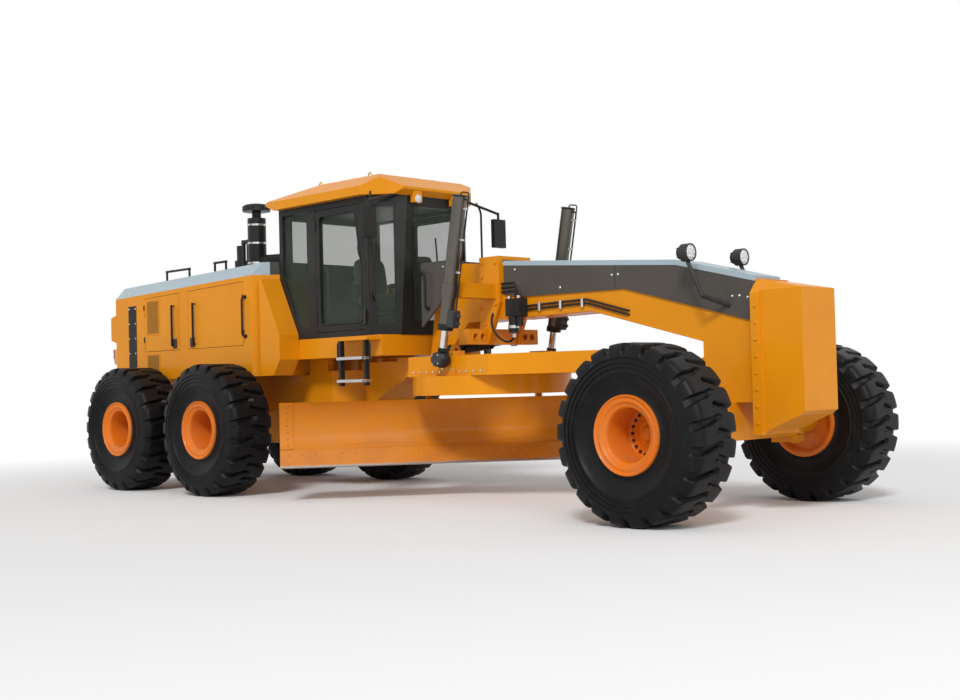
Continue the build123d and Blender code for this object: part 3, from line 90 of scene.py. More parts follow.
# Sockets that take part in sums
class Value:
    """A node's output that can be added, multiplied and compared as a number."""

    def __init__(self, tree, socket):
        self.tree = tree
        self.socket = socket

    def node(self, kind, settings=None, output=0, **inputs):
        """Adds any node: its settings first, then values or links by socket name."""
        made = self.tree.nodes.new(kind)
        for key, value in (settings or {}).items():
            setattr(made, key, value)
        for key, value in inputs.items():
            place = int(key[1:]) if key[0] == "i" and key[1:].isdigit() else key.replace("_", " ")
            if isinstance(value, Value):
                self.tree.links.new(value.socket, made.inputs[place])
            else:
                made.inputs[place].default_value = value
        return Value(self.tree, made.outputs[output])

    def math(self, operation, first, second=0.0):
        """One sum of two numbers or values, by the name of its operation."""
        return self.node("ShaderNodeMath", {"operation": operation}, i0=first, i1=second)

    def __add__(self, other):
        return self.math("ADD", self, other)

    __radd__ = __add__

    def __sub__(self, other):
        return self.math("SUBTRACT", self, other)

    def __rsub__(self, other):
        return self.math("SUBTRACT", other, self)

    def __mul__(self, other):
        return self.math("MULTIPLY", self, other)

    __rmul__ = __mul__

    def above(self, edge, blur):
        """0 below an edge and 1 above it, with a soft step between."""
        settings = {"interpolation_type": "SMOOTHSTEP"}
        return self.node("ShaderNodeMapRange", settings, i0=self, i1=edge - blur, i2=edge + blur)

    def inside(self, start, end, blur):
        """1 between two edges and 0 outside them, with soft steps."""
        return self.above(start, blur) * (1 - self.above(end, blur))

    def least(self, other):
        """The smaller of two values."""
        return self.math("MINIMUM", self, other)

    def seen(self):
        """1 for rays from the camera, a gloss or a pane, 0 for the rays that carry soft light."""
        kinds = ("Is Camera Ray", "Is Glossy Ray", "Is Transmission Ray")
        camera, gloss, pane = [self.node("ShaderNodeLightPath", output=kind) for kind in kinds]
        return (camera + gloss + pane).least(1.0)

    def noise(self, scale, detail=4.0, rough=0.55):
        """Cloudy noise at this place, with so many clouds to a metre."""
        return self.node("ShaderNodeTexNoise", i2=scale, i3=detail, i4=rough, Vector=self)

    def split(self):
        """The three parts of a place."""
        parts = self.node("ShaderNodeSeparateXYZ", i0=self)
        return [Value(self.tree, socket) for socket in parts.socket.node.outputs]

    def blend(self, first, second):
        """Mixes two colours by this value, from the first at 0 to the second at 1."""
        settings = {"data_type": "RGBA", "clamp_factor": True}
        first, second = [c if isinstance(c, Value) else (*c, 1.0) for c in (first, second)]
        return self.node("ShaderNodeMix", settings, output=2, i0=self, i6=first, i7=second)

    def bump(self, strength, distance):
        """A surface direction that makes this value look like height."""
        return self.node("ShaderNodeBump", Height=self, Strength=strength, Distance=distance)


class Finish:
    """A material: one shader, the Object position, and what is set on the shader."""

    def __init__(self, name, **constants):
        self.material = bpy.data.materials.new(name)
        self.material.use_nodes = True
        tree = self.material.node_tree
        self.shader = tree.nodes["Principled BSDF"]
        coordinates = tree.nodes.new("ShaderNodeTexCoord")
        self.place = Value(tree, coordinates.outputs["Object"])
        for key, value in constants.items():
            self.shader.inputs[key.replace("_", " ")].default_value = value

    def drive(self, **inputs):
        """Links values to the shader's inputs."""
        for key, value in inputs.items():
            self.place.tree.links.new(value.socket, self.shader.inputs[key.replace("_", " ")])
        return self


# Finishes
DUST = (0.30, 0.24, 0.17)
YELLOW = (0.75, 0.282, 0.005)
YELLOW_DEEP = (0.69, 0.240, 0.004)
ORANGE = (0.76, 0.190, 0.010)
ORANGE_DEEP = (0.64, 0.140, 0.007)
BLACK = (0.010, 0.010, 0.010)
WARM_GREY = (0.080, 0.070, 0.060)
BLUE_GREY = (0.36, 0.45, 0.50)
ORANGE_PEEL = 160.0
PEEL_DEPTH = 0.0006
DUST_TOP = 0.75


def paint(name, colour, shade, rough, coat, dusty=0.22, trim=None):
    """Sprayed paint: slow drift of colour, orange peel, dust settled low down, black trim by a mask."""
    finish = Finish(name, Coat_Roughness=0.08, Specular_IOR_Level=0.12)
    drift = finish.place.noise(1.3, 5.0)
    speckle = finish.place.noise(ORANGE_PEEL, 2.0)
    height = finish.place.split()[2]
    patches = finish.place.noise(4.0, 8.0, 0.65).above(0.52, 0.16)
    grime = (1 - height.above(DUST_TOP, DUST_TOP)) * patches * dusty
    base = grime.blend(drift.above(0.52, 0.3).blend(colour, shade), DUST)
    if trim:
        base = trim(finish.place).blend(base, BLACK)
    return finish.drive(
        Base_Color=base,
        Roughness=rough + 0.10 * (drift - 0.5) + 0.35 * grime,
        Coat_Weight=coat - coat * grime,
        Normal=speckle.bump(0.25, PEEL_DEPTH),
    )


def two_tone(name, split_at, upper, lower, rough):
    """Panel paint in two colours, the upper one where a mask is 1, with a slow drift in the lower."""
    finish = Finish(name, Specular_IOR_Level=0.2, Coat_Weight=0.08, Coat_Roughness=0.2)
    mask = split_at(finish.place)
    drift = finish.place.noise(2.0, 5.0)
    shade = tuple(0.82 * c for c in lower)
    base = mask.blend(drift.above(0.5, 0.3).blend(lower, shade), upper)
    return finish.drive(
        Base_Color=base,
        Roughness=rough + 0.14 * (drift - 0.5),
        Normal=finish.place.noise(220.0, 2.0).bump(0.2, 0.0005),
    )


FRAME_KNEE = (X_FRONT_AXLE - 0.5, 2.42)
FRAME_FRONT = (X_FRONT_AXLE + 0.39, 2.20)
FRAME_BACK = (X_MID_AXLE + 3.05, 2.66)
COVER_BAND = 0.022
COVER_START, COVER_START_BLUR = low("frame_cover")[0] - 0.05, 0.01
EDGE_BLUR = 0.001


def frame_top_mask(place):
    """1 on the band under the cover's top edge, which falls in two straight runs towards the nose."""
    x, _, z = place.split()
    back_fall = (FRAME_KNEE[1] - FRAME_BACK[1]) / (FRAME_KNEE[0] - FRAME_BACK[0])
    front_fall = (FRAME_FRONT[1] - FRAME_KNEE[1]) / (FRAME_FRONT[0] - FRAME_KNEE[0])
    back_run = back_fall * x + (FRAME_BACK[1] - back_fall * FRAME_BACK[0])
    front_run = front_fall * x + (FRAME_KNEE[1] - front_fall * FRAME_KNEE[0])
    band = (z - back_run.least(front_run)).above(-COVER_BAND, EDGE_BLUR)
    return band * x.above(COVER_START, COVER_START_BLUR)


LID_SEAMS = (HOOD_REAR + 0.42, HOOD_FRONT - 0.29)
SEAM_WIDTH = 0.008
SEAM_SHADE = 0.6
FLAP_START = HOOD_FRONT - 0.06


def hood_lid_mask(place):
    """1 over most of the lid, less in the two seams across it, 0 on the dark flap next to the cab."""
    x = place.split()[0]
    mask = 1 - x.above(FLAP_START, EDGE_BLUR)
    for seam in LID_SEAMS:
        mask = mask - SEAM_SHADE * x.inside(seam, seam + SEAM_WIDTH, EDGE_BLUR)
    return mask


GRIP_STANDOFF = 0.006
LAMP_BOX_START = low("tail_lamps")[0] + 0.055


def door_grip_mask(place):
    """1 on what stands out from a hood side, which is the door's grip."""
    return place.math("ABSOLUTE", place.split()[1]).above(HOOD_SIDE + GRIP_STANDOFF, EDGE_BLUR)


def lamp_box_mask(place):
    """1 on the sides of a tail lamp's box, 0 on its rear face."""
    return place.split()[0].above(LAMP_BOX_START, EDGE_BLUR)


STEP_LEVELS = (1.34, 1.60)
STEP_THICKNESS = 0.03
STEP_MARGIN = 0.002


def ladder_post_mask(place):
    """0 on the ladder's bright steps, 1 on its painted posts."""
    z = place.split()[2]
    first, second = [z.inside(level - STEP_MARGIN, level + STEP_THICKNESS + STEP_MARGIN, 0.0005)
                     for level in STEP_LEVELS]
    return 1 - first - second


BALL_TOP = 1.665


def ball_mask(place):
    """1 on the dark ball at the foot of a lift rod."""
    return 1 - place.split()[2].above(BALL_TOP, 0.002)


RUBBER_BLACK, RUBBER_SCUFF = (0.005, 0.005, 0.0055), (0.013, 0.012, 0.011)


def rubber(name):
    """Tyre rubber: near black, browner where it is scuffed, with a fine moulded grain."""
    finish = Finish(name, Specular_IOR_Level=0.15)
    scuff = finish.place.noise(9.0, 8.0, 0.7)
    base = scuff.above(0.62, 0.2).blend(RUBBER_BLACK, RUBBER_SCUFF)
    grain = finish.place.noise(260.0, 3.0)
    return finish.drive(Base_Color=base, Roughness=0.32 + 0.26 * scuff, Normal=grain.bump(0.25, 0.0010))


GLASS_GREEN, GLASS_DUST = (0.050, 0.075, 0.048), (0.06, 0.066, 0.050)
GLASS_DUST_LEVEL = 2.25


def tinted_glass(name):
    """Green-grey safety glass that shows the inside, a little dusty along its foot."""
    finish = Finish(name, Specular_IOR_Level=0.35, Roughness=0.03)
    height = finish.place.split()[2]
    film = (1 - height.above(GLASS_DUST_LEVEL, 0.35)) * finish.place.noise(6.0, 6.0).above(0.5, 0.25)
    return finish.drive(
        Base_Color=film.blend(GLASS_GREEN, GLASS_DUST),
        Alpha=0.22 + 0.20 * film + 0.04 * finish.place.noise(1.0),
    )


SCRATCHES = 140.0
SCRATCH_DEPTH = 0.0004
PAINTED_ROUGH = 0.4


def metal(name, colour, rough, scratch, painted=None):
    """Bare metal with fine scratches and a slow drift in its colour, painted black under a mask."""
    finish = Finish(name, Metallic=1.0, Specular_IOR_Level=0.35)
    lines = finish.place.noise(SCRATCHES, 4.0)
    drift = finish.place.noise(5.0, 4.0)
    dark = tuple(0.72 * c for c in colour)
    base = drift.blend(colour, dark)
    polish = rough + 0.16 * (lines - 0.5)
    if painted:
        mask = painted(finish.place)
        base, polish = mask.blend(base, BLACK), polish + (PAINTED_ROUGH - rough) * mask
        finish.drive(Metallic=1 - mask)
    return finish.drive(Base_Color=base, Roughness=polish, Normal=lines.bump(scratch, SCRATCH_DEPTH))


PEBBLES = 420.0
PEBBLE_DEPTH = 0.0008


def moulded(name, colour, rough):
    """Moulded plastic or rubber trim with a pebbled grain."""
    finish = Finish(name, Specular_IOR_Level=0.25)
    pebbles = finish.place.node("ShaderNodeTexVoronoi", Vector=finish.place, Scale=PEBBLES)
    drift = finish.place.noise(7.0, 5.0)
    lighter = tuple(min(1.0, 1.5 * c + 0.01) for c in colour)
    return finish.drive(
        Base_Color=drift.above(0.55, 0.25).blend(colour, lighter),
        Roughness=rough + 0.16 * (drift - 0.5),
        Normal=pebbles.bump(0.3, PEBBLE_DEPTH),
    )


CLOTH_DARK, CLOTH_FADED = (0.035, 0.036, 0.038), (0.075, 0.075, 0.072)
THREADS = 900.0


def cloth(name):
    """Seat cloth: crossed threads on the piece's own place, with a slow fade."""
    finish = Finish(name, Roughness=0.9, Sheen_Weight=0.3)
    x, y, z = finish.place.split()
    warp = finish.place.math("SINE", x * THREADS)
    weft = finish.place.math("SINE", (y + z) * THREADS)
    fade = finish.place.noise(4.0)
    weave = (warp * weft).bump(0.5, 0.0012)
    return finish.drive(Base_Color=fade.blend(CLOTH_DARK, CLOTH_FADED), Normal=weave)


EDGE_PAINT, EDGE_STREAK, EDGE_STEEL = (0.60, 0.20, 0.012), (0.50, 0.155, 0.012), (0.36, 0.33, 0.30)
EDGE_RUB_LEVEL = 0.412


def worn_edge(name):
    """The cutting edge: paint rubbed to bare steel along its lower lip."""
    finish = Finish(name, Specular_IOR_Level=0.5)
    height = finish.place.split()[2]
    rub = height + 0.05 * (finish.place.noise(14.0, 8.0, 0.7) - 0.5)
    bare = 1 - rub.above(EDGE_RUB_LEVEL, 0.012)
    streak = finish.place.noise(3.0, 6.0).above(0.55, 0.2)
    return finish.drive(
        Base_Color=bare.blend(streak.blend(EDGE_PAINT, EDGE_STREAK), EDGE_STEEL),
        Metallic=0.9 * bare,
        Roughness=0.36 + 0.12 * streak,
        Normal=finish.place.noise(90.0).bump(0.3, 0.0012),
    )


def lens(name, colour, ridges, boxed=None):
    """A clear or coloured lamp cover with moulded ridges, its colour painted darker in the troughs between
    them as painted shade, body colour where a mask says so.
    """
    finish = Finish(name, Roughness=0.08, Specular_IOR_Level=0.7, Coat_Weight=0.6)
    waves = finish.place.math("SINE", finish.place.split()[1] * ridges)
    deep = tuple(0.6 * c for c in colour)
    # Painted shade: the colour is darker in the troughs between the ridges, following the same wave that
    # raises them.
    base = waves.above(0.0, 0.6).blend(deep, colour)
    if boxed:
        base = boxed(finish.place).blend(base, YELLOW_DEEP)
    return finish.drive(Base_Color=base, Normal=waves.bump(0.4, 0.003))


FINISHES = {
    "body_paint": paint("yellow_gloss", YELLOW, YELLOW_DEEP, 0.36, 0.12),
    "rim_paint": paint("orange_rim_gloss", ORANGE, ORANGE_DEEP, 0.38, 0.12, dusty=0.3),
    "black_paint": paint("black_satin", BLACK, (0.030, 0.029, 0.027), 0.42, 0.12, dusty=0.1),
    "light_grey": two_tone("blue_grey_lid", hood_lid_mask, BLUE_GREY, (0.05, 0.047, 0.043), 0.36),
    "dark_grey": two_tone("warm_grey_cover", frame_top_mask, BLUE_GREY, WARM_GREY, 0.40),
    "tyre": rubber("tyre_rubber"),
    "glass": tinted_glass("green_tinted_glass"),
    "chrome": metal("chromed_rod", (0.80, 0.80, 0.81), 0.12, 0.04),
    "cast_iron": metal("cast_block", (0.16, 0.155, 0.15), 0.62, 0.6),
    "worn_steel": worn_edge("rubbed_cutting_edge"),
    "seat_fabric": cloth("seat_cloth"),
    "matte_plastic": moulded("console_plastic", (0.030, 0.030, 0.031), 0.58),
    "lamp_red": lens("red_tail_lens", (0.42, 0.020, 0.012), 320.0),
    "lamp_clear": moulded("lamp_housing", (0.022, 0.022, 0.023), 0.5),
}
BRIGHT_STEEL = metal("zinc_fastener", (0.68, 0.67, 0.64), 0.30, 0.2)
DARK_STEEL = metal("oiled_fastener", (0.10, 0.095, 0.09), 0.42, 0.2)
GOLD_ZINC = metal("gold_zinc_eye", (0.72, 0.50, 0.16), 0.32, 0.2)
SEAL_RUBBER = moulded("black_seal", (0.014, 0.014, 0.014), 0.66)
MESH_WIRE = paint("bronze_mesh", (0.46, 0.225, 0.035), (0.36, 0.17, 0.030), 0.5, 0.05)
DOOR_PAINT = paint("yellow_gloss_black_grip", YELLOW, YELLOW_DEEP, 0.36, 0.12, trim=door_grip_mask)
TAIL_BOX = lens("tail_lamp_box", (0.30, 0.018, 0.012), 320.0, boxed=lamp_box_mask)
LADDER_STEEL = metal("silver_steps_black_posts", (0.62, 0.62, 0.61), 0.36, 0.4, painted=ladder_post_mask)
ROD_CHROME = metal("chromed_rod_black_ball", (0.80, 0.80, 0.81), 0.12, 0.04, painted=ball_mask)
CLEAR_LENS = lens("clear_lamp_lens", (0.82, 0.83, 0.84), 260.0)
AMBER_LENS = lens("amber_lens", (0.75, 0.22, 0.01), 300.0)
MIRROR_GLASS = metal("mirror_face", (0.86, 0.87, 0.88), 0.03, 0.0)
BLADE_PAINT = paint("orange_blade_gloss", (0.64, 0.215, 0.010), (0.54, 0.165, 0.008), 0.34, 0.14)
BARREL_STEEL = metal("brown_black_barrel", (0.15, 0.135, 0.115), 0.36, 0.15)
OWN_FINISHES = {"ladders": LADDER_STEEL, "tail_lamps": TAIL_BOX, "moldboard": BLADE_PAINT}
for side_name in SIDES:
    OWN_FINISHES[f"hood_door_rear_{side_name}"] = DOOR_PAINT
    OWN_FINISHES[f"hood_door_front_{side_name}"] = DOOR_PAINT
    OWN_FINISHES[f"lift_rod_{side_name}"] = ROD_CHROME
    OWN_FINISHES[f"lift_barrel_{side_name}"] = BARREL_STEEL


def look(slot):
    """The finish and the slot that go together under a slot's name."""
    return FINISHES[slot], slot


BLACK_LOOK, PLASTIC_LOOK, BODY_LOOK = look("black_paint"), look("matte_plastic"), look("body_paint")
RIM_LOOK, WORN_LOOK = look("rim_paint"), look("worn_steel")
STEEL_LOOK, SEAL_LOOK = (BRIGHT_STEEL, "chrome"), (SEAL_RUBBER, "matte_plastic")
LENS_LOOK = (CLEAR_LENS, "lamp_clear")


def finish_nodes():
    """Gives every carried-over solid its own finish, or that of its slot."""
    for name, node in NODES.items():
        finish = OWN_FINISHES.get(name, FINISHES[SLOT_OF[name]])
        node.data.materials.clear()
        node.data.materials.append(finish.material)


# Shapes, each a grid of points with rows along it and columns round it
def unit(vector):
    """A direction of length one."""
    vector = np.asarray(vector, float)
    return vector / np.linalg.norm(vector, axis=-1, keepdims=True)


def crossways(axis):
    """Two directions square to an axis and to each other."""
    axis = unit(axis)
    other = np.eye(3)[np.argmin(np.abs(axis))]
    first = unit(np.cross(axis, other))
    return first, np.cross(axis, first)


def lathe(profile, centre, axis, segments=32):
    """A profile of (radius, distance) pairs turned about an axis through a centre."""
    radius, along = np.asarray(profile, float).T
    first, second = crossways(axis)
    turn = np.linspace(0, 2 * pi, segments, endpoint=False)
    circle = np.cos(turn)[:, None] * first + np.sin(turn)[:, None] * second
    spine = np.asarray(centre, float) + along[:, None] * unit(axis)
    return spine[:, None] + radius[:, None, None] * circle


def tube(path, radius, sides=12):
    """A circle carried along a path, square to it, in a frame set by the path's flattest direction."""
    path = np.asarray(path, float)
    along = unit(np.gradient(path, axis=0))
    flat = np.linalg.svd(path - path.mean(axis=0))[2][2]
    first = unit(np.cross(along, flat))
    second = np.cross(along, first)
    turn = np.linspace(0, 2 * pi, sides, endpoint=False)[:, None]
    return path[:, None] + radius * (np.cos(turn) * first[:, None] + np.sin(turn) * second[:, None])


def bent(corners, radius, steps=6):
    """A bar's centre line: straight runs joined by curves that start a radius short of each corner."""
    corners = np.asarray(corners, float)
    share = np.linspace(0, 1, steps)[:, None]
    runs = [corners[:1]]
    for before, corner, after in zip(corners, corners[1:], corners[2:]):
        enter = corner + radius * unit(before - corner)
        leave = corner + radius * unit(after - corner)
        runs.append((1 - share) ** 2 * enter + 2 * share * (1 - share) * corner + share ** 2 * leave)
    return np.vstack(runs + [corners[-1:]])


def slack(start, leave, enter, end, steps=24):
    """A hose's centre line: a cubic curve between two ends, pulled towards two points on the way."""
    share = np.linspace(0, 1, steps)[:, None]
    rest = 1 - share
    pull = 3 * rest * share * (rest * leave + share * enter)
    return rest ** 3 * start + pull + share ** 3 * end


def slab(centre, size, bevel, axes=np.eye(3)):
    """A block with bevelled edges: an eight-sided outline that draws in at both ends of its third axis."""
    half = np.asarray(size, float) / 2
    x, y, z = half
    flat_x, flat_y = x - bevel, y - bevel
    outline = np.array([
        (flat_x, y), (-flat_x, y), (-x, flat_y), (-x, -flat_y),
        (-flat_x, -y), (flat_x, -y), (x, -flat_y), (x, flat_y),
    ])
    inset = outline * (1 - bevel / half[:2])
    levels = zip((inset, outline, outline, inset), (-z, bevel - z, z - bevel, z))
    rows = [np.column_stack([points, np.full(len(points), level)]) for points, level in levels]
    return np.asarray(centre, float) + np.array(rows) @ np.asarray(axes, float)


HEAD_SINK = 0.004
BOLT_SIDES = 6
BOLT_CHAMFER = (0.8, 0.75)


def bolt(place, axis, radius, height):
    """A bolt head: a six-sided prism, chamfered at its top and sunk a little into its seat."""
    narrow, rise = BOLT_CHAMFER
    profile = [(radius, -HEAD_SINK), (radius, rise * height), (narrow * radius, height)]
    return lathe(profile, place, axis, BOLT_SIDES)


def dome(place, axis, radius, height, segments=12):
    """A rounded head: a quarter of an ellipse turned about its axis."""
    angle = np.linspace(0, 0.46 * pi, 5)
    profile = np.column_stack([radius * np.cos(angle), height * np.sin(angle)])
    return lathe(np.vstack([[radius, -HEAD_SINK], profile]), place, axis, segments)


def pillow(centre, half, axes=np.eye(3), square=0.45, rows=16, columns=32):
    """A padded block: a ball stretched to three half sizes, its circles squared by a power below one."""
    def squared(wave):
        return np.sign(wave) * np.abs(wave) ** square
    rise = np.linspace(-0.49 * pi, 0.49 * pi, rows)[:, None]
    turn = np.linspace(0, 2 * pi, columns, endpoint=False)[None, :]
    across = squared(np.cos(rise))
    ball = np.stack([across * squared(np.cos(turn)), across * squared(np.sin(turn)),
                     squared(np.sin(rise)) + 0 * turn], axis=-1)
    return np.asarray(centre, float) + (ball * np.asarray(half, float)) @ np.asarray(axes, float)


def ring(centre, axis, radius, thickness, segments=32, sides=10):
    """A circle of bar: a small circle turned about an axis at a distance."""
    turn = np.linspace(0, 2 * pi, sides, endpoint=False)
    profile = np.column_stack([radius + thickness * np.cos(turn), thickness * np.sin(turn)])
    return lathe(profile, centre, axis, segments)


# Sizes that end in HEAD are (radius, height), and those in WIRE are (radius, sides)
BAR_RADIUS = 0.013
SEAL_RADIUS = 0.011
SEAL_SIDES = 8
FOOT_RADIUS, FOOT_TOP_RADIUS, FOOT_CHAMFER = 0.026, 0.018, 0.003
FOOT_SINK = 0.002


def bar(corners, bend, radius=BAR_RADIUS, sides=12):
    """A round bar bent at its corners."""
    return tube(bent(corners, bend), radius, sides)


def grip(first, second, reach, bend, radius=BAR_RADIUS):
    """A bar between two feet that stands off from them by a reach."""
    return bar([first, np.add(first, reach), np.add(second, reach), second], bend, radius)


def wire(start, end, radius, sides, points=3):
    """A straight round wire between two ends."""
    return tube(np.linspace(start, end, points), radius, sides)


def rail_foot(place, axis, thick):
    """A round plate under the end of a rail, chamfered at its top."""
    section = [(FOOT_RADIUS, -FOOT_SINK), (FOOT_RADIUS, thick), (FOOT_TOP_RADIUS, thick + FOOT_CHAMFER)]
    return lathe(section, place, axis, 20)


def circle_spots(centre, axis, radius, count, start=pi / 2):
    """Points at even steps on a circle about an axis."""
    first, second = crossways(axis)
    turn = start + np.linspace(0, 2 * pi, count, endpoint=False)[:, None]
    return centre + radius * (np.cos(turn) * first + np.sin(turn) * second)


class Skin:
    """Gathers grids of points into one mesh and hangs it on a body."""

    def __init__(self, *grids):
        self.points = []
        self.faces = []
        self.count = 0
        for grid in grids:
            self.add(grid)

    def add(self, grid, closed=False):
        """Joins each point to its neighbours; open ends are capped, closed ends meet."""
        rows, columns = grid.shape[:2]
        index = np.arange(rows * columns).reshape(rows, columns) + self.count
        loop = np.hstack([index, index[:, :1]])
        if closed:
            loop = np.vstack([loop, loop[:1]])
        else:
            self.faces += [index[0, ::-1].tolist(), index[-1].tolist()]
        quads = np.stack([loop[:-1, :-1], loop[:-1, 1:], loop[1:, 1:], loop[1:, :-1]], axis=-1)
        self.faces += quads.reshape(-1, 4).tolist()
        self.points.append(grid.reshape(-1, 3))
        self.count += rows * columns
        return self

    def hang(self, name, body, finish_and_slot, replaces=(), crease=38):
        """Makes the mesh, smooths it up to a crease angle, and hangs it on a body."""
        finish, slot = finish_and_slot
        mesh = bpy.data.meshes.new(name)
        mesh.from_pydata(np.vstack(self.points).tolist(), [], self.faces)
        work = bmesh.new()
        work.from_mesh(mesh)
        bmesh.ops.recalc_face_normals(work, faces=work.faces)
        work.to_mesh(mesh)
        work.free()
        mesh.materials.append(finish.material)
        mesh.polygons.foreach_set("use_smooth", [True] * len(mesh.polygons))
        mesh.set_sharp_from_angle(angle=radians(crease))
        piece = bpy.data.objects.new(name, mesh)
        bpy.context.collection.objects.link(piece)
        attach(piece, body)
        if replaces:
            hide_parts(*replaces)


def heads(shape, spots, axis, size, skin=None):
    """Adds like heads to a skin, one at each spot, each a shape of (radius, height) along an axis."""
    skin = skin or Skin()
    for spot in spots:
        skin.add(shape(spot, axis, *size))
    return skin


def loop_seal(start, corners, bend):
    """A rubber seal from a start round a door's corners and back."""
    path = bent([start, *corners, start], bend)
    return Skin().add(tube(path[:-1], SEAL_RADIUS, SEAL_SIDES), closed=True)


# Wheels
LUG_COUNT = 22
COLUMNS_PER_LUG = 24
TREAD_STEPS = 17
GROOVE_ACROSS = (-0.015, 0.105, 0.197, 0.325)
GROOVE_START = (-0.070, -0.034, -0.022, -0.004)
GROOVE_END = (-0.022, 0.021, 0.037, 0.084)
GROOVE_FADE = (-0.030, -0.006)
GROOVE_WALL = 0.010
TREAD_TOP = [
    (0.808, 0.0), (0.808, 0.10), (0.808, 0.18), (0.806, 0.222), (0.797, 0.248), (0.776, 0.267),
    (0.745, 0.280), (0.715, 0.288), (0.690, 0.2925),
]
TREAD_FLOOR = [
    (0.766, 0.0), (0.766, 0.10), (0.765, 0.18), (0.761, 0.212), (0.752, 0.236), (0.736, 0.256),
    (0.718, 0.272), (0.702, 0.284), (0.690, 0.2925),
]
SIDEWALL = [
    (0.682, 0.2945), (0.676, 0.2945), (0.671, 0.2860), (0.655, 0.2875), (0.640, 0.2945), (0.634, 0.2945),
    (0.629, 0.2840), (0.612, 0.2850), (0.598, 0.2935), (0.592, 0.2935), (0.587, 0.2820), (0.566, 0.2820),
    (0.553, 0.2900), (0.546, 0.2890), (0.538, 0.2790), (0.505, 0.2610), (0.470, 0.2430), (0.440, 0.2310),
    (0.415, 0.2240), (0.392, 0.2230), (0.374, 0.2290), (0.3570, 0.2400),
]


def even(pairs, count):
    """Points at even steps along a run of (radius, offset) pairs."""
    pairs = np.asarray(pairs, float)
    place = np.linspace(0, len(pairs) - 1, count)
    return np.column_stack([np.interp(place, np.arange(len(pairs)), pairs[:, i]) for i in (0, 1)])


def tyre_surface(centre, side):
    """A tyre as a function of two angles: a section from bead to bead, turned about the axle.

    The tread's section lies between a groove floor and a lug top. A point takes the floor where its place
    round the tyre falls between a groove's two slanting walls, and the top elsewhere. The grooves of the
    other half stand half a lug further on.
    """
    top, floor = even(TREAD_TOP, TREAD_STEPS), even(TREAD_FLOOR, TREAD_STEPS)
    wall = np.array(SIDEWALL)
    flip = np.array([1, -1])
    top = np.vstack([wall[::-1] * flip, top[:0:-1] * flip, top, wall])
    floor = np.vstack([wall[::-1] * flip, floor[:0:-1] * flip, floor, wall])
    across = top[:, 1]
    pitch = 2 * pi / LUG_COUNT
    turn = np.linspace(0, 2 * pi, LUG_COUNT * COLUMNS_PER_LUG, endpoint=False)
    start = np.interp(np.abs(across), GROOVE_ACROSS, GROOVE_START)
    end = np.interp(np.abs(across), GROOVE_ACROSS, GROOVE_END)
    turn = turn[None, :] + ((start + end) / 2 / TYRE_RADIUS)[:, None]
    lug = np.ones_like(turn)
    for half, shift in ((1, 0.0), (-1, pitch / 2)):
        own = np.interp(half * across, GROOVE_FADE, (0.0, 1.0))[:, None]
        place = ((turn - shift + pitch / 2) % pitch - pitch / 2) * TYRE_RADIUS
        into = np.minimum(place - start[:, None], end[:, None] - place)
        cut = np.clip(into / GROOVE_WALL + 0.5, 0, 1) * own
        lug = np.minimum(lug, 1 - cut)
    radius = floor[:, :1] + (top - floor)[:, :1] * lug
    offset = floor[:, 1:] + (top - floor)[:, 1:] * lug
    grid = np.stack([radius * np.sin(turn), side * offset, radius * np.cos(turn)], axis=-1)
    return grid + centre


RIM_SECTION = [
    (0.3558, 0.244), (0.3550, 0.262), (0.350, 0.2685), (0.343, 0.2690), (0.337, 0.2640), (0.332, 0.2540),
    (0.324, 0.2500), (0.314, 0.2520), (0.305, 0.2580), (0.296, 0.2590), (0.289, 0.2540), (0.282, 0.2430),
    (0.270, 0.2360), (0.257, 0.2330), (0.247, 0.2270), (0.240, 0.2140), (0.237, 0.1900), (0.237, 0.0600),
    (0.237, -0.060), (0.233, -0.085), (0.224, -0.097), (0.210, -0.100), (0.130, -0.100), (0.124, -0.096),
    (0.1110, -0.0960), (0.1110, -0.1420), (0.2360, -0.1460), (0.2740, -0.1560), (0.2880, -0.1800),
    (0.3000, -0.2460), (0.3140, -0.2600), (0.3400, -0.2620), (0.3520, -0.2580), (0.3558, -0.2440),
]
TYRE_CREASE, RIM_CREASE = 32, 42
RIM_SEGMENTS, HUB_SEGMENTS = 96, 40
NUT_COUNT = 20
NUT_CIRCLE = 0.196
NUT_FACE = -0.100
NUT_HEAD = (0.0145, 0.022)
HUB_FACE = -0.088
HUB_CAP = [(0.088, 0.0), (0.086, 0.016), (0.072, 0.022), (0.066, 0.040), (0.052, 0.052), (0.020, 0.056)]
HUB_BOLT_COUNT = 10
HUB_BOLT_CIRCLE = 0.078
HUB_BOLT_FACE = HUB_FACE + 0.016
HUB_HEAD = (0.006, 0.009)


def dress_wheel(place):
    """A lugged tyre, a stepped rim with its ring of nuts, and a hub cap."""
    side = 1 if place.endswith("left") else -1
    centre = middle(f"tyre_{place}")
    body = f"wheel_{place}"
    out = side * LEFT
    tyre = Skin().add(tyre_surface(centre, side), closed=True)
    tyre.hang(f"lugged_tyre_{place}", body, look("tyre"), [f"tyre_{place}"], TYRE_CREASE)
    rim = Skin().add(lathe(RIM_SECTION, centre, out, RIM_SEGMENTS), closed=True)
    rim.hang(f"stepped_rim_{place}", body, RIM_LOOK, [f"rim_{place}"], RIM_CREASE)
    spots = circle_spots(centre + NUT_FACE * out, out, NUT_CIRCLE, NUT_COUNT)
    heads(bolt, spots, out, NUT_HEAD).hang(f"wheel_nuts_{place}", body, (DARK_STEEL, "black_paint"))
    spots = circle_spots(centre + HUB_BOLT_FACE * out, out, HUB_BOLT_CIRCLE, HUB_BOLT_COUNT)
    hub = heads(bolt, spots, out, HUB_HEAD)
    hub.add(lathe(HUB_CAP, centre + HUB_FACE * out, out, HUB_SEGMENTS))
    hub.hang(f"hub_cap_{place}", body, RIM_LOOK)


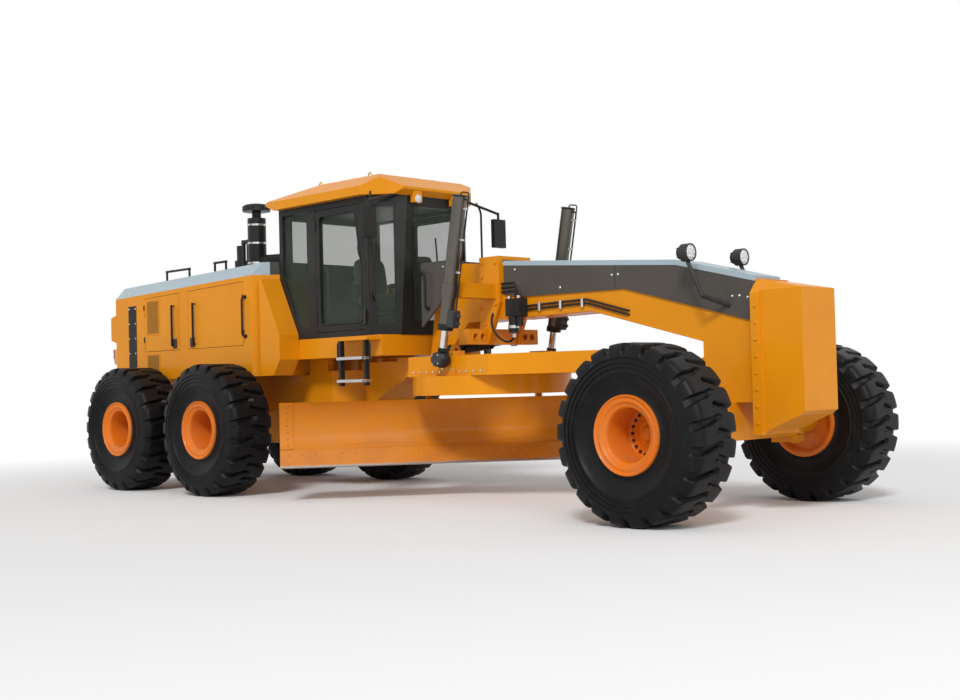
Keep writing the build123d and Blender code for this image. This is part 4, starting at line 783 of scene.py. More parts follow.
# Hood
SCREEN_BACK = HOOD_REAR + 0.83
SCREEN_FRONT = SCREEN_BACK + 0.28
SCREEN_STEP = 0.010
SCREEN_WIRE = (0.0022, 4)
SCREEN_STANDOFF = 0.003
SCREEN_RIM = 0.016
SCREEN_RIM_GAP = 0.03
SCREEN_RIM_DEPTH = 0.008
SCREEN_RIM_BEVEL = 0.002
DOOR_SCREEN = (2.08, 2.51)
LOW_SCREEN = (1.55, 1.78)


def wire_panel(name, body, levels, side):
    """A framed wire screen on a hood side: level and upright wires, one pitch apart, inside a flat rim."""
    x0, x1 = SCREEN_BACK, SCREEN_FRONT
    z0, z1 = levels
    y = side * (HOOD_SIDE + SCREEN_STANDOFF)
    screen = Skin()
    for x in np.arange(x0 + SCREEN_STEP, x1, SCREEN_STEP):
        screen.add(wire((x, y, z0), (x, y, z1), *SCREEN_WIRE))
    for z in np.arange(z0 + SCREEN_STEP, z1, SCREEN_STEP):
        screen.add(wire((x0, y, z), (x1, y, z), *SCREEN_WIRE))
    screen.hang(name, body, (MESH_WIRE, "body_paint"))
    wide, tall = x1 - x0 + SCREEN_RIM_GAP, z1 - z0 + SCREEN_RIM_GAP
    centre = np.array([(x0 + x1) / 2, y, (z0 + z1) / 2])
    level_bar = (wide + SCREEN_RIM, SCREEN_RIM_DEPTH, SCREEN_RIM)
    upright_bar = (SCREEN_RIM, SCREEN_RIM_DEPTH, tall - SCREEN_RIM)
    rim = Skin()
    for way in (-1, 1):
        rim.add(slab(centre + (0, 0, way * tall / 2), level_bar, SCREEN_RIM_BEVEL))
        rim.add(slab(centre + (way * wide / 2, 0, 0), upright_bar, SCREEN_RIM_BEVEL))
    rim.hang(f"{name}_rim", body, BODY_LOOK)


STRIP_PLACE = (HOOD_REAR + 0.445, HOOD_SIDE + 0.001, 2.03)
STRIP_SIZE = (0.200, 0.014, 0.900)
STRIP_BEVEL = 0.004
STRIP_FACE = HOOD_SIDE + 0.007
STRIP_STUD_LEVELS = np.linspace(1.62, 2.44, 5)
STRIP_STUD_SHIFT = 0.08
STRIP_HEAD = (0.012, 0.006)
LATCH_SHIFT = 0.10
LATCH_LEVEL = 1.925
LATCH_SIZE, LATCH_BUTTON = (0.085, 0.024, 0.125), (0.050, 0.014, 0.050)
LATCH_BEVEL, BUTTON_BEVEL = 0.008, 0.005
LATCH_OFFSET, BUTTON_OFFSET, LOCK_OFFSET = (0, 0.008, 0), (0, 0.022, 0.020), (0, 0.018, -0.035)
LATCH_LOCK = [(0.012, 0.0), (0.012, 0.006), (0.007, 0.009)]
DOOR_SEAL_INSET = 0.013
DOOR_SEAL_BEND = 0.03
SEAL_START = 0.3
HOOD_RAIL_X = -1.985
HOOD_RAIL_LEVELS = (2.44, 1.95)
HOOD_RAIL_REACH = 0.059
HOOD_RAIL_BEND = 0.045
HOOD_RAIL_SINK = 0.004
HOOD_RAIL_FOOT = 0.005
FOOT_STUD_SIDE = HOOD_SIDE + 0.0005
FOOT_STUD_LEVEL = 1.50
FOOT_STUD_PLACES = np.linspace(-3.45, -1.99, 8)
FOOT_HEAD = (0.010, 0.005)
LID_REAR = 2.60 + 0.16
LID_SLOPE = (high("hood_cover")[2] - LID_REAR) / (HOOD_FRONT - HOOD_REAR)


def dress_hood_door(which, name, side, latch_x):
    """A latch on a hood door, and a rubber seal in the gap behind the door's edge."""
    door = f"hood_door_{which}_{name}"
    spot = np.array([latch_x, side * HOOD_SIDE, LATCH_LEVEL])
    latch = Skin(slab(spot + mirrored(LATCH_OFFSET, side), LATCH_SIZE, LATCH_BEVEL))
    latch.add(slab(spot + mirrored(BUTTON_OFFSET, side), LATCH_BUTTON, BUTTON_BEVEL))
    latch.add(lathe(LATCH_LOCK, spot + mirrored(LOCK_OFFSET, side), side * LEFT))
    latch.hang(f"door_latch_{which}_{name}", door, PLASTIC_LOOK)
    (x0, y0, z0), (x1, y1, z1) = low(door), high(door)
    deep = side * (min(abs(y0), abs(y1)) - DOOR_SEAL_INSET)
    rear_top = z1 - LID_SLOPE * (x1 - x0)
    corners = [(x1, deep, z0), (x1, deep, z1), (x0, deep, rear_top), (x0, deep, z0)]
    seal = loop_seal((x0 + SEAL_START, deep, z0), corners, DOOR_SEAL_BEND)
    seal.hang(f"hood_door_seal_{which}_{name}", REAR, SEAL_LOOK)


def dress_hood():
    """Screens, rubber strips, latches, seals, grab rails and studs on both sides of the hood."""
    for name, side in SIDES.items():
        rear_door, front_door = f"hood_door_rear_{name}", f"hood_door_front_{name}"
        wire_panel(f"door_screen_{name}", rear_door, DOOR_SCREEN, side)
        wire_panel(f"low_screen_{name}", REAR, LOW_SCREEN, side)
        out = side * LEFT
        strip = Skin(slab(mirrored(STRIP_PLACE, side), STRIP_SIZE, STRIP_BEVEL))
        strip.hang(f"hood_strip_{name}", REAR, SEAL_LOOK)
        spots = [(STRIP_PLACE[0] + dx, side * STRIP_FACE, z)
                 for z in STRIP_STUD_LEVELS for dx in (-STRIP_STUD_SHIFT, STRIP_STUD_SHIFT)]
        heads(dome, spots, out, STRIP_HEAD).hang(f"strip_studs_{name}", REAR, STEEL_LOOK)
        dress_hood_door("rear", name, side, high(rear_door)[0] - LATCH_SHIFT)
        dress_hood_door("front", name, side, low(front_door)[0] + LATCH_SHIFT)
        feet = [np.array([HOOD_RAIL_X, side * HOOD_SIDE, z]) for z in HOOD_RAIL_LEVELS]
        sunk = [foot - HOOD_RAIL_SINK * out for foot in feet]
        rail = Skin(grip(*sunk, HOOD_RAIL_REACH * out, HOOD_RAIL_BEND))
        for foot in feet:
            rail.add(rail_foot(foot, out, HOOD_RAIL_FOOT))
        rail.hang(f"hood_grab_rail_{name}", REAR, BLACK_LOOK)
        spots = [(x, side * FOOT_STUD_SIDE, FOOT_STUD_LEVEL) for x in FOOT_STUD_PLACES]
        heads(dome, spots, out, FOOT_HEAD).hang(f"hood_foot_studs_{name}", REAR, STEEL_LOOK)


CLEANER_X = X_MID_AXLE - 0.45
CLEANER_FOOT = np.array([CLEANER_X, -0.45, LID_REAR + LID_SLOPE * (CLEANER_X - HOOD_REAR)])
CLEANER_HEIGHT = 0.85
BAND_RISES = (0.10, 0.36, 0.60)
BAND_SECTION = [(0.1195, -0.014), (0.125, -0.012), (0.125, 0.012), (0.1195, 0.014)]
BAND_SCREW_SIZE = (0.05, 0.02, 0.026)
BAND_SCREW_X, BAND_SCREW_Y = 0.02, -0.128
BAND_SCREW_BEVEL = 0.004
CAP_RIBS = 18
CAP_RIB_SIZE = (0.016, 0.012, 0.056)
CAP_RIB_BEVEL = 0.003
CAP_RIB_DROP = 0.035
CAP_RADIUS = 0.176
BRACE_POST_SIZE, BRACE_BAR_SIZE = (0.045, 0.045, 0.46), (0.16, 0.05, 0.05)
BRACE_BAR_OFFSET = (-0.205, -0.03, 0.40)
BRACE_POST_OFFSETS = ((-0.26, -0.03, 0.20), (-0.15, -0.03, 0.20))
BRACE_BEVEL = 0.006
CAP_SECTION = [(0.17, -0.004), (0.15, 0.018), (0.09, 0.030), (0.02, 0.034)]


def dress_air_cleaner():
    """Band clamps, a ribbed cap and a brace on the air cleaner."""
    bands = Skin()
    for rise in BAND_RISES:
        bands.add(lathe(BAND_SECTION, CLEANER_FOOT + rise * UP, UP, 48))
        screw = CLEANER_FOOT + (BAND_SCREW_X, BAND_SCREW_Y, rise)
        bands.add(slab(screw, BAND_SCREW_SIZE, BAND_SCREW_BEVEL))
    bands.hang("air_cleaner_bands", REAR, STEEL_LOOK)
    top = CLEANER_FOOT + CLEANER_HEIGHT * UP
    cap = Skin()
    for way in circle_spots(np.zeros(3), UP, 1.0, CAP_RIBS):
        axes = np.array([way, np.cross(UP, way), UP])
        cap.add(slab(top - CAP_RIB_DROP * UP + CAP_RADIUS * way, CAP_RIB_SIZE, CAP_RIB_BEVEL, axes))
    cap.add(lathe(CAP_SECTION, top, UP, 40))
    cap.hang("air_cleaner_cap", REAR, PLASTIC_LOOK)
    brace = Skin(slab(CLEANER_FOOT + BRACE_BAR_OFFSET, BRACE_BAR_SIZE, BRACE_BEVEL))
    for offset in BRACE_POST_OFFSETS:
        brace.add(slab(CLEANER_FOOT + offset, BRACE_POST_SIZE, BRACE_BEVEL))
    brace.hang("air_cleaner_brace", REAR, BLACK_LOOK)


# Cab
DOOR_SHOULDER = 2.68
DOOR_CORNER = 0.10
CAB_SEAL_BEND = 0.05
DOOR_HANDLE_LEVEL = 2.10
DOOR_HANDLE_SHIFT = 0.04
DOOR_HANDLE_SIZE = (0.055, 0.030, 0.19)
DOOR_HANDLE_STANDOFF, DOOR_HANDLE_BEVEL = 0.010, 0.010
HANDLE_GRIP_TOP, HANDLE_GRIP_FOOT, HANDLE_GRIP_REACH = 0.07, -0.05, 0.05
HANDLE_GRIP_BEND, HANDLE_GRIP_RADIUS = 0.02, 0.009
INNER_RAIL_LEVELS = (2.72, 2.15)
INNER_RAIL_X, INNER_RAIL_Y = 0.06, 0.03
INNER_RAIL_REACH, INNER_RAIL_BEND = 0.045, 0.03
CORNER_RAIL = [
    (0.16, 0.86, ROOF_TOP - 0.24), (0.20, 0.90, ROOF_TOP - 0.34), (0.20, 0.90, 2.35), (0.10, 0.78, 2.28),
]
CORNER_RAIL_BEND = 0.06
MIRROR_PLACE = (0.308, 1.06, middle("mirrors")[2] - 0.095)
MIRROR_SIZE = (0.006, 0.175, 0.325)
MIRROR_BEVEL = 0.002
ROOF_LAMP_LEVEL = 3.455
ROOF_LAMPS = ((0.371, 0.31, 1), (-1.771, 0.52, -1))
ROOF_LAMP_SECTION = [(0.048, 0.0), (0.048, 0.008), (0.036, 0.014), (0.012, 0.017)]


def dress_cab_side(name, side):
    """A cab door's seal, handle and inner rail, and the corner rail, mirror face and roof lamps beside it."""
    door = f"cab_door_{name}"
    (x0, _, z0), (x1, _, z1) = low(f"door_glass_{name}"), high(f"door_glass_{name}")
    y, out = side * CAB_SIDE, side * LEFT
    corners = [(x1, y, z0), (x1, y, DOOR_SHOULDER), (x1 - DOOR_CORNER, y, z1), (x0, y, z1), (x0, y, z0)]
    seal = loop_seal((x0 + SEAL_START, y, z0), corners, CAB_SEAL_BEND)
    seal.hang(f"door_seal_{name}", door, SEAL_LOOK)
    spot = np.array([x1 + DOOR_HANDLE_SHIFT, y, DOOR_HANDLE_LEVEL])
    handle = Skin(slab(spot + DOOR_HANDLE_STANDOFF * out, DOOR_HANDLE_SIZE, DOOR_HANDLE_BEVEL))
    ends = [spot + HANDLE_GRIP_TOP * UP, spot + HANDLE_GRIP_FOOT * UP]
    handle.add(grip(*ends, HANDLE_GRIP_REACH * out, HANDLE_GRIP_BEND, HANDLE_GRIP_RADIUS))
    handle.hang(f"door_handle_{name}", door, PLASTIC_LOOK)
    feet = [(x0 + INNER_RAIL_X, y - side * INNER_RAIL_Y, z) for z in INNER_RAIL_LEVELS]
    rail = Skin(grip(*feet, -INNER_RAIL_REACH * out, INNER_RAIL_BEND))
    rail.hang(f"door_inner_rail_{name}", door, PLASTIC_LOOK)
    guard = Skin(bar(mirrored(CORNER_RAIL, side), CORNER_RAIL_BEND))
    guard.hang(f"corner_rail_{name}", REAR, BLACK_LOOK)
    face = Skin(slab(mirrored(MIRROR_PLACE, side), MIRROR_SIZE, MIRROR_BEVEL))
    face.hang(f"mirror_face_{name}", REAR, (MIRROR_GLASS, "chrome"))
    lamps = Skin(*[lathe(ROOF_LAMP_SECTION, (x, side * lamp_y, ROOF_LAMP_LEVEL), way * AHEAD)
                   for x, lamp_y, way in ROOF_LAMPS])
    lamps.hang(f"roof_lamp_lenses_{name}", REAR, LENS_LOOK)


WIPER_PLACES = (-0.12, 0.20)
WIPER_FOOT, WIPER_TIP = np.array([0.262, 0.0, 2.06]), np.array([0.296, -0.16, 2.72])
WIPER_BLADE = ((0.0, 0.03, -0.30), (0.012, -0.03, 0.30))
WIPER_ARM_WIRE, WIPER_BLADE_WIRE = (0.008, 8, 4), (0.010, 6, 4)
WIPER_HUB_SINK = 0.025
WIPER_HUB = [(0.03, 0.0), (0.03, 0.03), (0.018, 0.04)]
LIFTING_EYES = [(x, y, ROOF_TOP) for x in (-1.18, -0.25) for y in (-0.50, 0.50)]
EYE_FOOT = [(0.024, -0.03), (0.024, 0.000), (0.013, 0.008)]
EYE_RISE, EYE_RADIUS, EYE_THICKNESS = 0.030, 0.032, 0.009
EYE_SINK = 0.002
STEERING_CENTRE = np.array([-0.066, 0.0, 2.770])
STEERING_AXIS = unit((-0.17, 0, 0.985))
STEERING_RADIUS = 0.190
STEERING_GRIP = (0.016, 48, 12)
SPOKE_WIRE = (0.011, 8)
STEERING_SPOKES = (0.5, 2.6, 4.7)
LEVER_SECTION = [(0.008, 0.0), (0.008, 0.07), (0.020, 0.08), (0.024, 0.12), (0.020, 0.16), (0.008, 0.172)]
LEVER_LEAN = (0.12, 0, 1)
LEVER_X, LEVER_Y = low("seat")[0] + 0.45, high("seat")[1] - 0.03
ARMREST_TOP = 2.578


def dress_cab():
    """Doors, rails and lamps on both sides, then wipers, lifting eyes, steering wheel and levers."""
    for name, side in SIDES.items():
        dress_cab_side(name, side)
    wipers = Skin()
    for y in WIPER_PLACES:
        foot, tip = WIPER_FOOT + y * LEFT, WIPER_TIP + y * LEFT
        wipers.add(wire(foot, tip, *WIPER_ARM_WIRE))
        wipers.add(wire(*[tip + end for end in WIPER_BLADE], *WIPER_BLADE_WIRE))
        wipers.add(lathe(WIPER_HUB, foot - WIPER_HUB_SINK * AHEAD, AHEAD, 20))
    wipers.hang("windscreen_wipers", REAR, BLACK_LOOK)
    eyes = Skin()
    for place in LIFTING_EYES:
        eyes.add(ring(place + EYE_RISE * UP, LEFT, EYE_RADIUS, EYE_THICKNESS), closed=True)
        eyes.add(lathe(EYE_FOOT, place - EYE_SINK * UP, UP, 20))
    eyes.hang("roof_lifting_eyes", REAR, (GOLD_ZINC, "chrome"))
    rim = ring(STEERING_CENTRE, STEERING_AXIS, STEERING_RADIUS, *STEERING_GRIP)
    wheel = Skin().add(rim, closed=True)
    first, second = crossways(STEERING_AXIS)
    for angle in STEERING_SPOKES:
        way = cos(angle) * first + sin(angle) * second
        wheel.add(wire(STEERING_CENTRE, STEERING_CENTRE + STEERING_RADIUS * way, *SPOKE_WIRE))
    wheel.hang("steering_wheel", REAR, PLASTIC_LOOK)
    levers = Skin(*[lathe(LEVER_SECTION, (LEVER_X, side * LEVER_Y, ARMREST_TOP), LEVER_LEAN, 20)
                    for side in SIDES.values()])
    levers.hang("armrest_levers", REAR, PLASTIC_LOOK)


SEAT_FOOT = np.array([low("seat")[0] + 0.09, 0.0, low("seat")[2]])
SEAT_MIDDLE = 0.22
SEAT_BACK_LEAN = unit((-0.16, 0.0, 1.0))
SEAT_RIBS = np.linspace(0.03, 0.29, 5)
SEAT_RIB_SIZE = (0.32, 0.36, 0.058)
SEAT_RIB_BEVEL, ARMREST_BEVEL, ARMREST_POST_BEVEL = 0.016, 0.018, 0.010
ARMREST_OFFSET, ARMREST_POST_OFFSET = (0.22, 0.30, 0.60), (0.06, 0.30, 0.48)
ARMREST_SIZE, ARMREST_POST_SIZE = (0.40, 0.058, 0.060), (0.06, 0.040, 0.20)
CUSHION_HALF, BACK_HALF, HEADREST_HALF = (0.26, 0.26, 0.070), (0.058, 0.235, 0.235), (0.045, 0.130, 0.095)
CUSHION_OFFSET, BACK_OFFSET = (0.26, 0, 0.40), (0.02, 0, 0.70)
HEADREST_PLACE = (SEAT_FOOT[0] - 0.045, 0.0, high("seat")[2] - 0.10)


def dress_seat():
    """A sprung seat: a ribbed stand, a padded cushion, a leaning back, a headrest and two armrests."""
    stand = Skin(*[slab(SEAT_FOOT + (SEAT_MIDDLE, 0, rise), SEAT_RIB_SIZE, SEAT_RIB_BEVEL)
                   for rise in SEAT_RIBS])
    for side in SIDES.values():
        stand.add(slab(SEAT_FOOT + mirrored(ARMREST_OFFSET, side), ARMREST_SIZE, ARMREST_BEVEL))
        post = SEAT_FOOT + mirrored(ARMREST_POST_OFFSET, side)
        stand.add(slab(post, ARMREST_POST_SIZE, ARMREST_POST_BEVEL))
    stand.hang("seat_stand", REAR, PLASTIC_LOOK)
    axes = np.array([np.cross(LEFT, SEAT_BACK_LEAN), LEFT, SEAT_BACK_LEAN])
    pads = Skin(pillow(SEAT_FOOT + CUSHION_OFFSET, CUSHION_HALF))
    pads.add(pillow(SEAT_FOOT + BACK_OFFSET, BACK_HALF, axes))
    pads.add(pillow(HEADREST_PLACE, HEADREST_HALF, axes))
    pads.hang("seat_pads", REAR, look("seat_fabric"), ["seat"])


STEP_MIDDLE = middle("ladders")[0]
STEP_Y = CAB_SIDE + 0.186
STEP_GRIPS = [(STEP_MIDDLE + dx, STEP_Y + dy, level + STEP_THICKNESS)
              for level in STEP_LEVELS for dx in np.linspace(-0.17, 0.17, 9) for dy in (-0.04, 0.0, 0.04)]
GRIP_HEAD = (0.010, 0.006, 8)
LOOP_LEVELS = (1.80, 1.56)
LOOP_SIDE = CAB_SIDE + 0.18
LOOP_SINK, LOOP_REACH = 0.010, 0.055
LOOP_BEND, LOOP_RADIUS = 0.03, 0.011


def dress_steps():
    """Studs on the ladder's steps, and a bent grab loop beside each ladder post."""
    for name, side in SIDES.items():
        studs = heads(dome, mirrored(STEP_GRIPS, side), UP, GRIP_HEAD)
        studs.hang(f"step_grips_{name}", REAR, STEEL_LOOK)
        loops = Skin()
        for post_x, way in ((low("ladders")[0], -1), (high("ladders")[0], 1)):
            feet = [(post_x - LOOP_SINK * way, side * LOOP_SIDE, z) for z in LOOP_LEVELS]
            loops.add(grip(*feet, LOOP_REACH * way * AHEAD, LOOP_BEND, LOOP_RADIUS))
        loops.hang(f"step_grab_loops_{name}", REAR, BLACK_LOOK)


TAIL_LENS_X = low("tail_lamps")[0] + 0.016
TAIL_LENS_LEVEL = 1.80
TAIL_LENS_SECTION = [(0.046, -0.02), (0.046, 0.012), (0.036, 0.020), (0.012, 0.023)]
TAIL_LENS_AXIS = (-1, 0, 0.17)
TAIL_LENSES = (("stop", FINISHES["lamp_red"], 0.125), ("signal", AMBER_LENS, 0.230))
GRILLE_X = low("rear_grille")[0] + 0.010
GRILLE_LEVELS = (1.59, 2.00, 2.45)
GRILLE_PLACES = np.arange(-0.55, 0.551, 0.0275)
GRILLE_WIRE = (0.003, 5)


def dress_tail():
    """Round lenses in the tail lamps and a fine wire screen over the rear grille."""
    for name, side in SIDES.items():
        for piece, finish, inward in TAIL_LENSES:
            spot = (TAIL_LENS_X, side * (HOOD_SIDE - inward), TAIL_LENS_LEVEL)
            glass = Skin(lathe(TAIL_LENS_SECTION, spot, TAIL_LENS_AXIS))
            glass.hang(f"{piece}_lens_{name}", REAR, (finish, "lamp_red"))
    screen = Skin(*[tube([(GRILLE_X, y, z) for z in GRILLE_LEVELS], *GRILLE_WIRE) for y in GRILLE_PLACES])
    screen.hang("grille_wires", REAR, BLACK_LOOK)


# Front frame
COVER_SIDE = high("frame_cover")[1]
COVER_JOINT_X = X_MID_AXLE + 5.34
COVER_BOLTS = [
    (COVER_JOINT_X - 0.04, 2.36), (COVER_JOINT_X + 0.04, 2.36),
    (X_MID_AXLE + 3.95, 2.52), (X_MID_AXLE + 4.6, 2.28),
    (X_FRONT_AXLE + 0.14, 2.05), (X_FRONT_AXLE + 0.22, 2.05), (X_FRONT_AXLE + 0.31, 2.03),
]
COVER_HEAD = (0.015, 0.009)
COVER_JOINT_LEVEL = 2.335
COVER_JOINT_SIZE = (0.006, 0.004, 0.235)
COVER_JOINT_BEVEL, COVER_JOINT_STANDOFF = 0.0015, 0.0005
COWL_BACK, COWL_FRONT = low("side_panels")[0], high("side_panels")[0]
COWL_SIDE = high("side_panels")[1]
COWL_RAIL_LEVELS = (2.57, 2.16)
COWL_RAIL_BACK, COWL_RAIL_FRONT = COWL_BACK + 0.03, COWL_BACK + 0.12
COWL_RAIL_REACH, COWL_RAIL_BEND, COWL_RAIL_FOOT = 0.055, 0.035, 0.006
COWL_SCREW_X = COWL_FRONT - 0.04
COWL_SCREW_LEVELS = (2.62, 2.40)
COWL_HEAD = (0.013, 0.008)
WELD_CORNERS = [
    (X_FRONT_AXLE - 0.205, 1.10), (X_FRONT_AXLE - 0.205, 1.645),
    (X_MID_AXLE + 5.01, 2.015), (X_MID_AXLE + 3.80, 1.995),
]
FRAME_SIDE = 0.199
WELD_BEND, WELD_RADIUS, WELD_SIDES = 0.02, 0.009, 8


def dress_front_frame():
    """Cover bolts and joint, cowl rails and screws, and weld beads along the gooseneck."""
    bolts, joints, rails, screws, beads = Skin(), Skin(), Skin(), Skin(), Skin()
    for side in SIDES.values():
        out = side * LEFT
        heads(dome, [(x, side * COVER_SIDE, z) for x, z in COVER_BOLTS], out, COVER_HEAD, bolts)
        place = (COVER_JOINT_X, side * (COVER_SIDE + COVER_JOINT_STANDOFF), COVER_JOINT_LEVEL)
        joints.add(slab(place, COVER_JOINT_SIZE, COVER_JOINT_BEVEL))
        wall, bar_y = side * COWL_SIDE, side * (COWL_SIDE + COWL_RAIL_REACH)
        back, front = COWL_RAIL_BACK, COWL_RAIL_FRONT
        top, bottom = COWL_RAIL_LEVELS
        rails.add(bar([(back, wall, top), (back, bar_y, top), (front, bar_y, top), (front, bar_y, bottom),
                       (front, wall, bottom)], COWL_RAIL_BEND))
        rails.add(rail_foot((back, wall, top), out, COWL_RAIL_FOOT))
        rails.add(rail_foot((front, wall, bottom), out, COWL_RAIL_FOOT))
        heads(dome, [(COWL_SCREW_X, wall, z) for z in COWL_SCREW_LEVELS], out, COWL_HEAD, screws)
        corners = [(x, side * FRAME_SIDE, z) for x, z in WELD_CORNERS]
        beads.add(bar(corners, WELD_BEND, WELD_RADIUS, WELD_SIDES))
    bolts.hang("cover_bolts", FRONT, STEEL_LOOK)
    joints.hang("cover_joint", FRONT, SEAL_LOOK)
    rails.hang("cowl_grab_rails", FRONT, BLACK_LOOK)
    screws.hang("cowl_screws", FRONT, STEEL_LOOK)
    beads.hang("frame_weld_beads", FRONT, BODY_LOOK)


WORK_LAMP_PLACE = (X_FRONT_AXLE - 0.162, 0.45, 2.48)
WORK_LENS_SECTION = [(0.073, -0.002), (0.073, 0.010), (0.060, 0.016), (0.030, 0.020), (0.008, 0.021)]
CELL_COUNT = 6
CELL_CIRCLE = 0.044
CELL_HEAD = (0.017, 0.009)
CELL_STANDOFF = 0.014
LAMP_RIM = (0.080, 0.006, 40, 8)
LAMP_RIM_STANDOFF = 0.012
LAMP_FIN_LEVELS = (-0.045, -0.015, 0.015, 0.045)
LAMP_FIN_SIZE = (0.055, 0.10, 0.006)
LAMP_FIN_BACK, LAMP_FIN_BEVEL = -0.10, 0.001


def dress_work_lamps():
    """Lenses, lamp cells, rims and cooling fins of the two work lamps."""
    glass, cells, cups = Skin(), Skin(), Skin()
    for side in SIDES.values():
        centre = mirrored(WORK_LAMP_PLACE, side)
        spots = circle_spots(centre + CELL_STANDOFF * AHEAD, AHEAD, CELL_CIRCLE, CELL_COUNT)
        heads(dome, spots, AHEAD, CELL_HEAD, cells)
        glass.add(lathe(WORK_LENS_SECTION, centre, AHEAD, 40))
        cups.add(ring(centre + LAMP_RIM_STANDOFF * AHEAD, AHEAD, *LAMP_RIM), closed=True)
        for level in LAMP_FIN_LEVELS:
            cups.add(slab(centre + (LAMP_FIN_BACK, 0, level), LAMP_FIN_SIZE, LAMP_FIN_BEVEL))
    glass.hang("work_lamp_lenses", FRONT, LENS_LOOK)
    cells.hang("work_lamp_cells", FRONT, (MIRROR_GLASS, "lamp_clear"))
    cups.hang("work_lamp_rims", FRONT, PLASTIC_LOOK)


FILTER_SIDE = low("hydraulic_filters")[1]
FILTER_PLACE = np.array([X_MID_AXLE + 3.97, FILTER_SIDE + 0.055, 0.0])
VALVE_LINE_LEVELS = (2.38, 2.335, 2.29)
VALVE_LINE_SIDE = FILTER_SIDE + 0.108
VALVE_LINE_START, VALVE_LINE_KNEE, VALVE_LINE_STEP = X_MID_AXLE + 3.70, X_MID_AXLE + 3.96, 0.03
VALVE_LINE_BEND = 0.05
VALVE_TOP = 2.19
LONG_LINE_LEVELS = (2.075, 2.115)
LONG_LINE_SIDE = FILTER_SIDE + 0.112
LONG_LINE_START, LONG_LINE_KNEE, LONG_LINE_END = X_MID_AXLE + 4.11, X_MID_AXLE + 4.95, X_MID_AXLE + 5.5
LONG_LINE_RISE, LONG_LINE_FALL, LONG_LINE_HOOK = 0.02, 0.13, 0.04
LONG_LINE_BEND, LONG_LINE_RADIUS = 0.03, 0.011
HOSE_START = np.array([X_MID_AXLE + 3.64, -0.252, 2.06])
HOSE_LEAVE = HOSE_START + (0.06, -0.20, -0.20)
HOSE_END = FILTER_PLACE + 1.79 * UP
HOSE_ENTER = HOSE_END + (-0.08, 0.0, -0.16)
HOSE_RADIUS = 0.012
CLAMP_LEVEL = 2.10
CLAMP_SIDE = FILTER_SIDE + 0.114
CLAMP_SIZE = (0.03, 0.034, 0.10)
CLAMP_BEVEL = 0.004
CLAMP_PLACES = (X_MID_AXLE + 4.3, X_MID_AXLE + 4.6, X_MID_AXLE + 4.9)
FILTER_BAND = [(0.057, 0.0), (0.057, 0.03), (0.053, 0.034)]
FILTER_NOSE = [(0.020, -0.05), (0.022, -0.01), (0.045, 0.0)]
FILTER_BAND_LEVEL, FILTER_NOSE_LEVEL, FILTER_NUT_LEVEL = 1.88, 1.83, 2.20
FILTER_NUT = [(0.026, -0.01), (0.026, 0.03), (0.018, 0.034)]
FILTER_NUT_PLACES = ((-0.04, -0.02, FILTER_NUT_LEVEL), (0.10, -0.02, FILTER_NUT_LEVEL))


def dress_oil_lines():
    """Oil lines from the valves to the filter and along the gooseneck, a hose, clamps and filter fittings."""
    lines = Skin()
    y = VALVE_LINE_SIDE
    for step, level in enumerate(VALVE_LINE_LEVELS):
        knee = VALVE_LINE_KNEE + VALVE_LINE_STEP * step
        corners = [(VALVE_LINE_START, y, level), (knee, y, level), (knee, y, VALVE_TOP)]
        lines.add(bar(corners, VALVE_LINE_BEND))
    y = LONG_LINE_SIDE
    for z in LONG_LINE_LEVELS:
        end = np.array([LONG_LINE_END, y, z - LONG_LINE_FALL])
        start, knee = (LONG_LINE_START, y, z), (LONG_LINE_KNEE, y, z + LONG_LINE_RISE)
        hook = end + LONG_LINE_HOOK * LEFT
        lines.add(bar([start, knee, end, hook], LONG_LINE_BEND, LONG_LINE_RADIUS))
    lines.add(tube(slack(HOSE_START, HOSE_LEAVE, HOSE_ENTER, HOSE_END), HOSE_RADIUS))
    lines.hang("oil_lines", FRONT, BLACK_LOOK)
    clamps = Skin(*[slab((x, CLAMP_SIDE, CLAMP_LEVEL), CLAMP_SIZE, CLAMP_BEVEL) for x in CLAMP_PLACES])
    clamps.hang("oil_line_clamps", FRONT, STEEL_LOOK)
    fittings = Skin(lathe(FILTER_BAND, FILTER_PLACE + FILTER_BAND_LEVEL * UP, UP, 36))
    fittings.add(lathe(FILTER_NOSE, FILTER_PLACE + FILTER_NOSE_LEVEL * UP, UP, 24))
    for offset in FILTER_NUT_PLACES:
        fittings.add(lathe(FILTER_NUT, FILTER_PLACE + offset, UP, BOLT_SIDES))
    fittings.hang("filter_fittings", FRONT, STEEL_LOOK)


SADDLE_SIDE = 0.26
SADDLE_BOLTS = ((1.33, 2.62), (1.54, 2.62), (1.33, 2.47), (1.54, 2.16), (1.37, 1.95), (1.30, 2.12))
SADDLE_HEAD = (0.020, 0.018)
BLOCK_PLACE = (1.445, 0.78, 2.30)
BLOCK_HEAD = (0.013, 0.010)
BLOCK_BOLT_SPREAD = (0.065, (-0.055, 0.055))
LOCK_HOLES = [(1.401, y, 1.805) for y in (-0.46, -0.345, 0.345, 0.46)]
LOCK_RING = (0.040, 0.006, 32, 8)


def corners_about(centre, wide, tall):
    """Four points at the corners of an upright rectangle that runs along the machine."""
    return [np.add(centre, (x, 0, z)) for x in (-wide, wide) for z in tall]


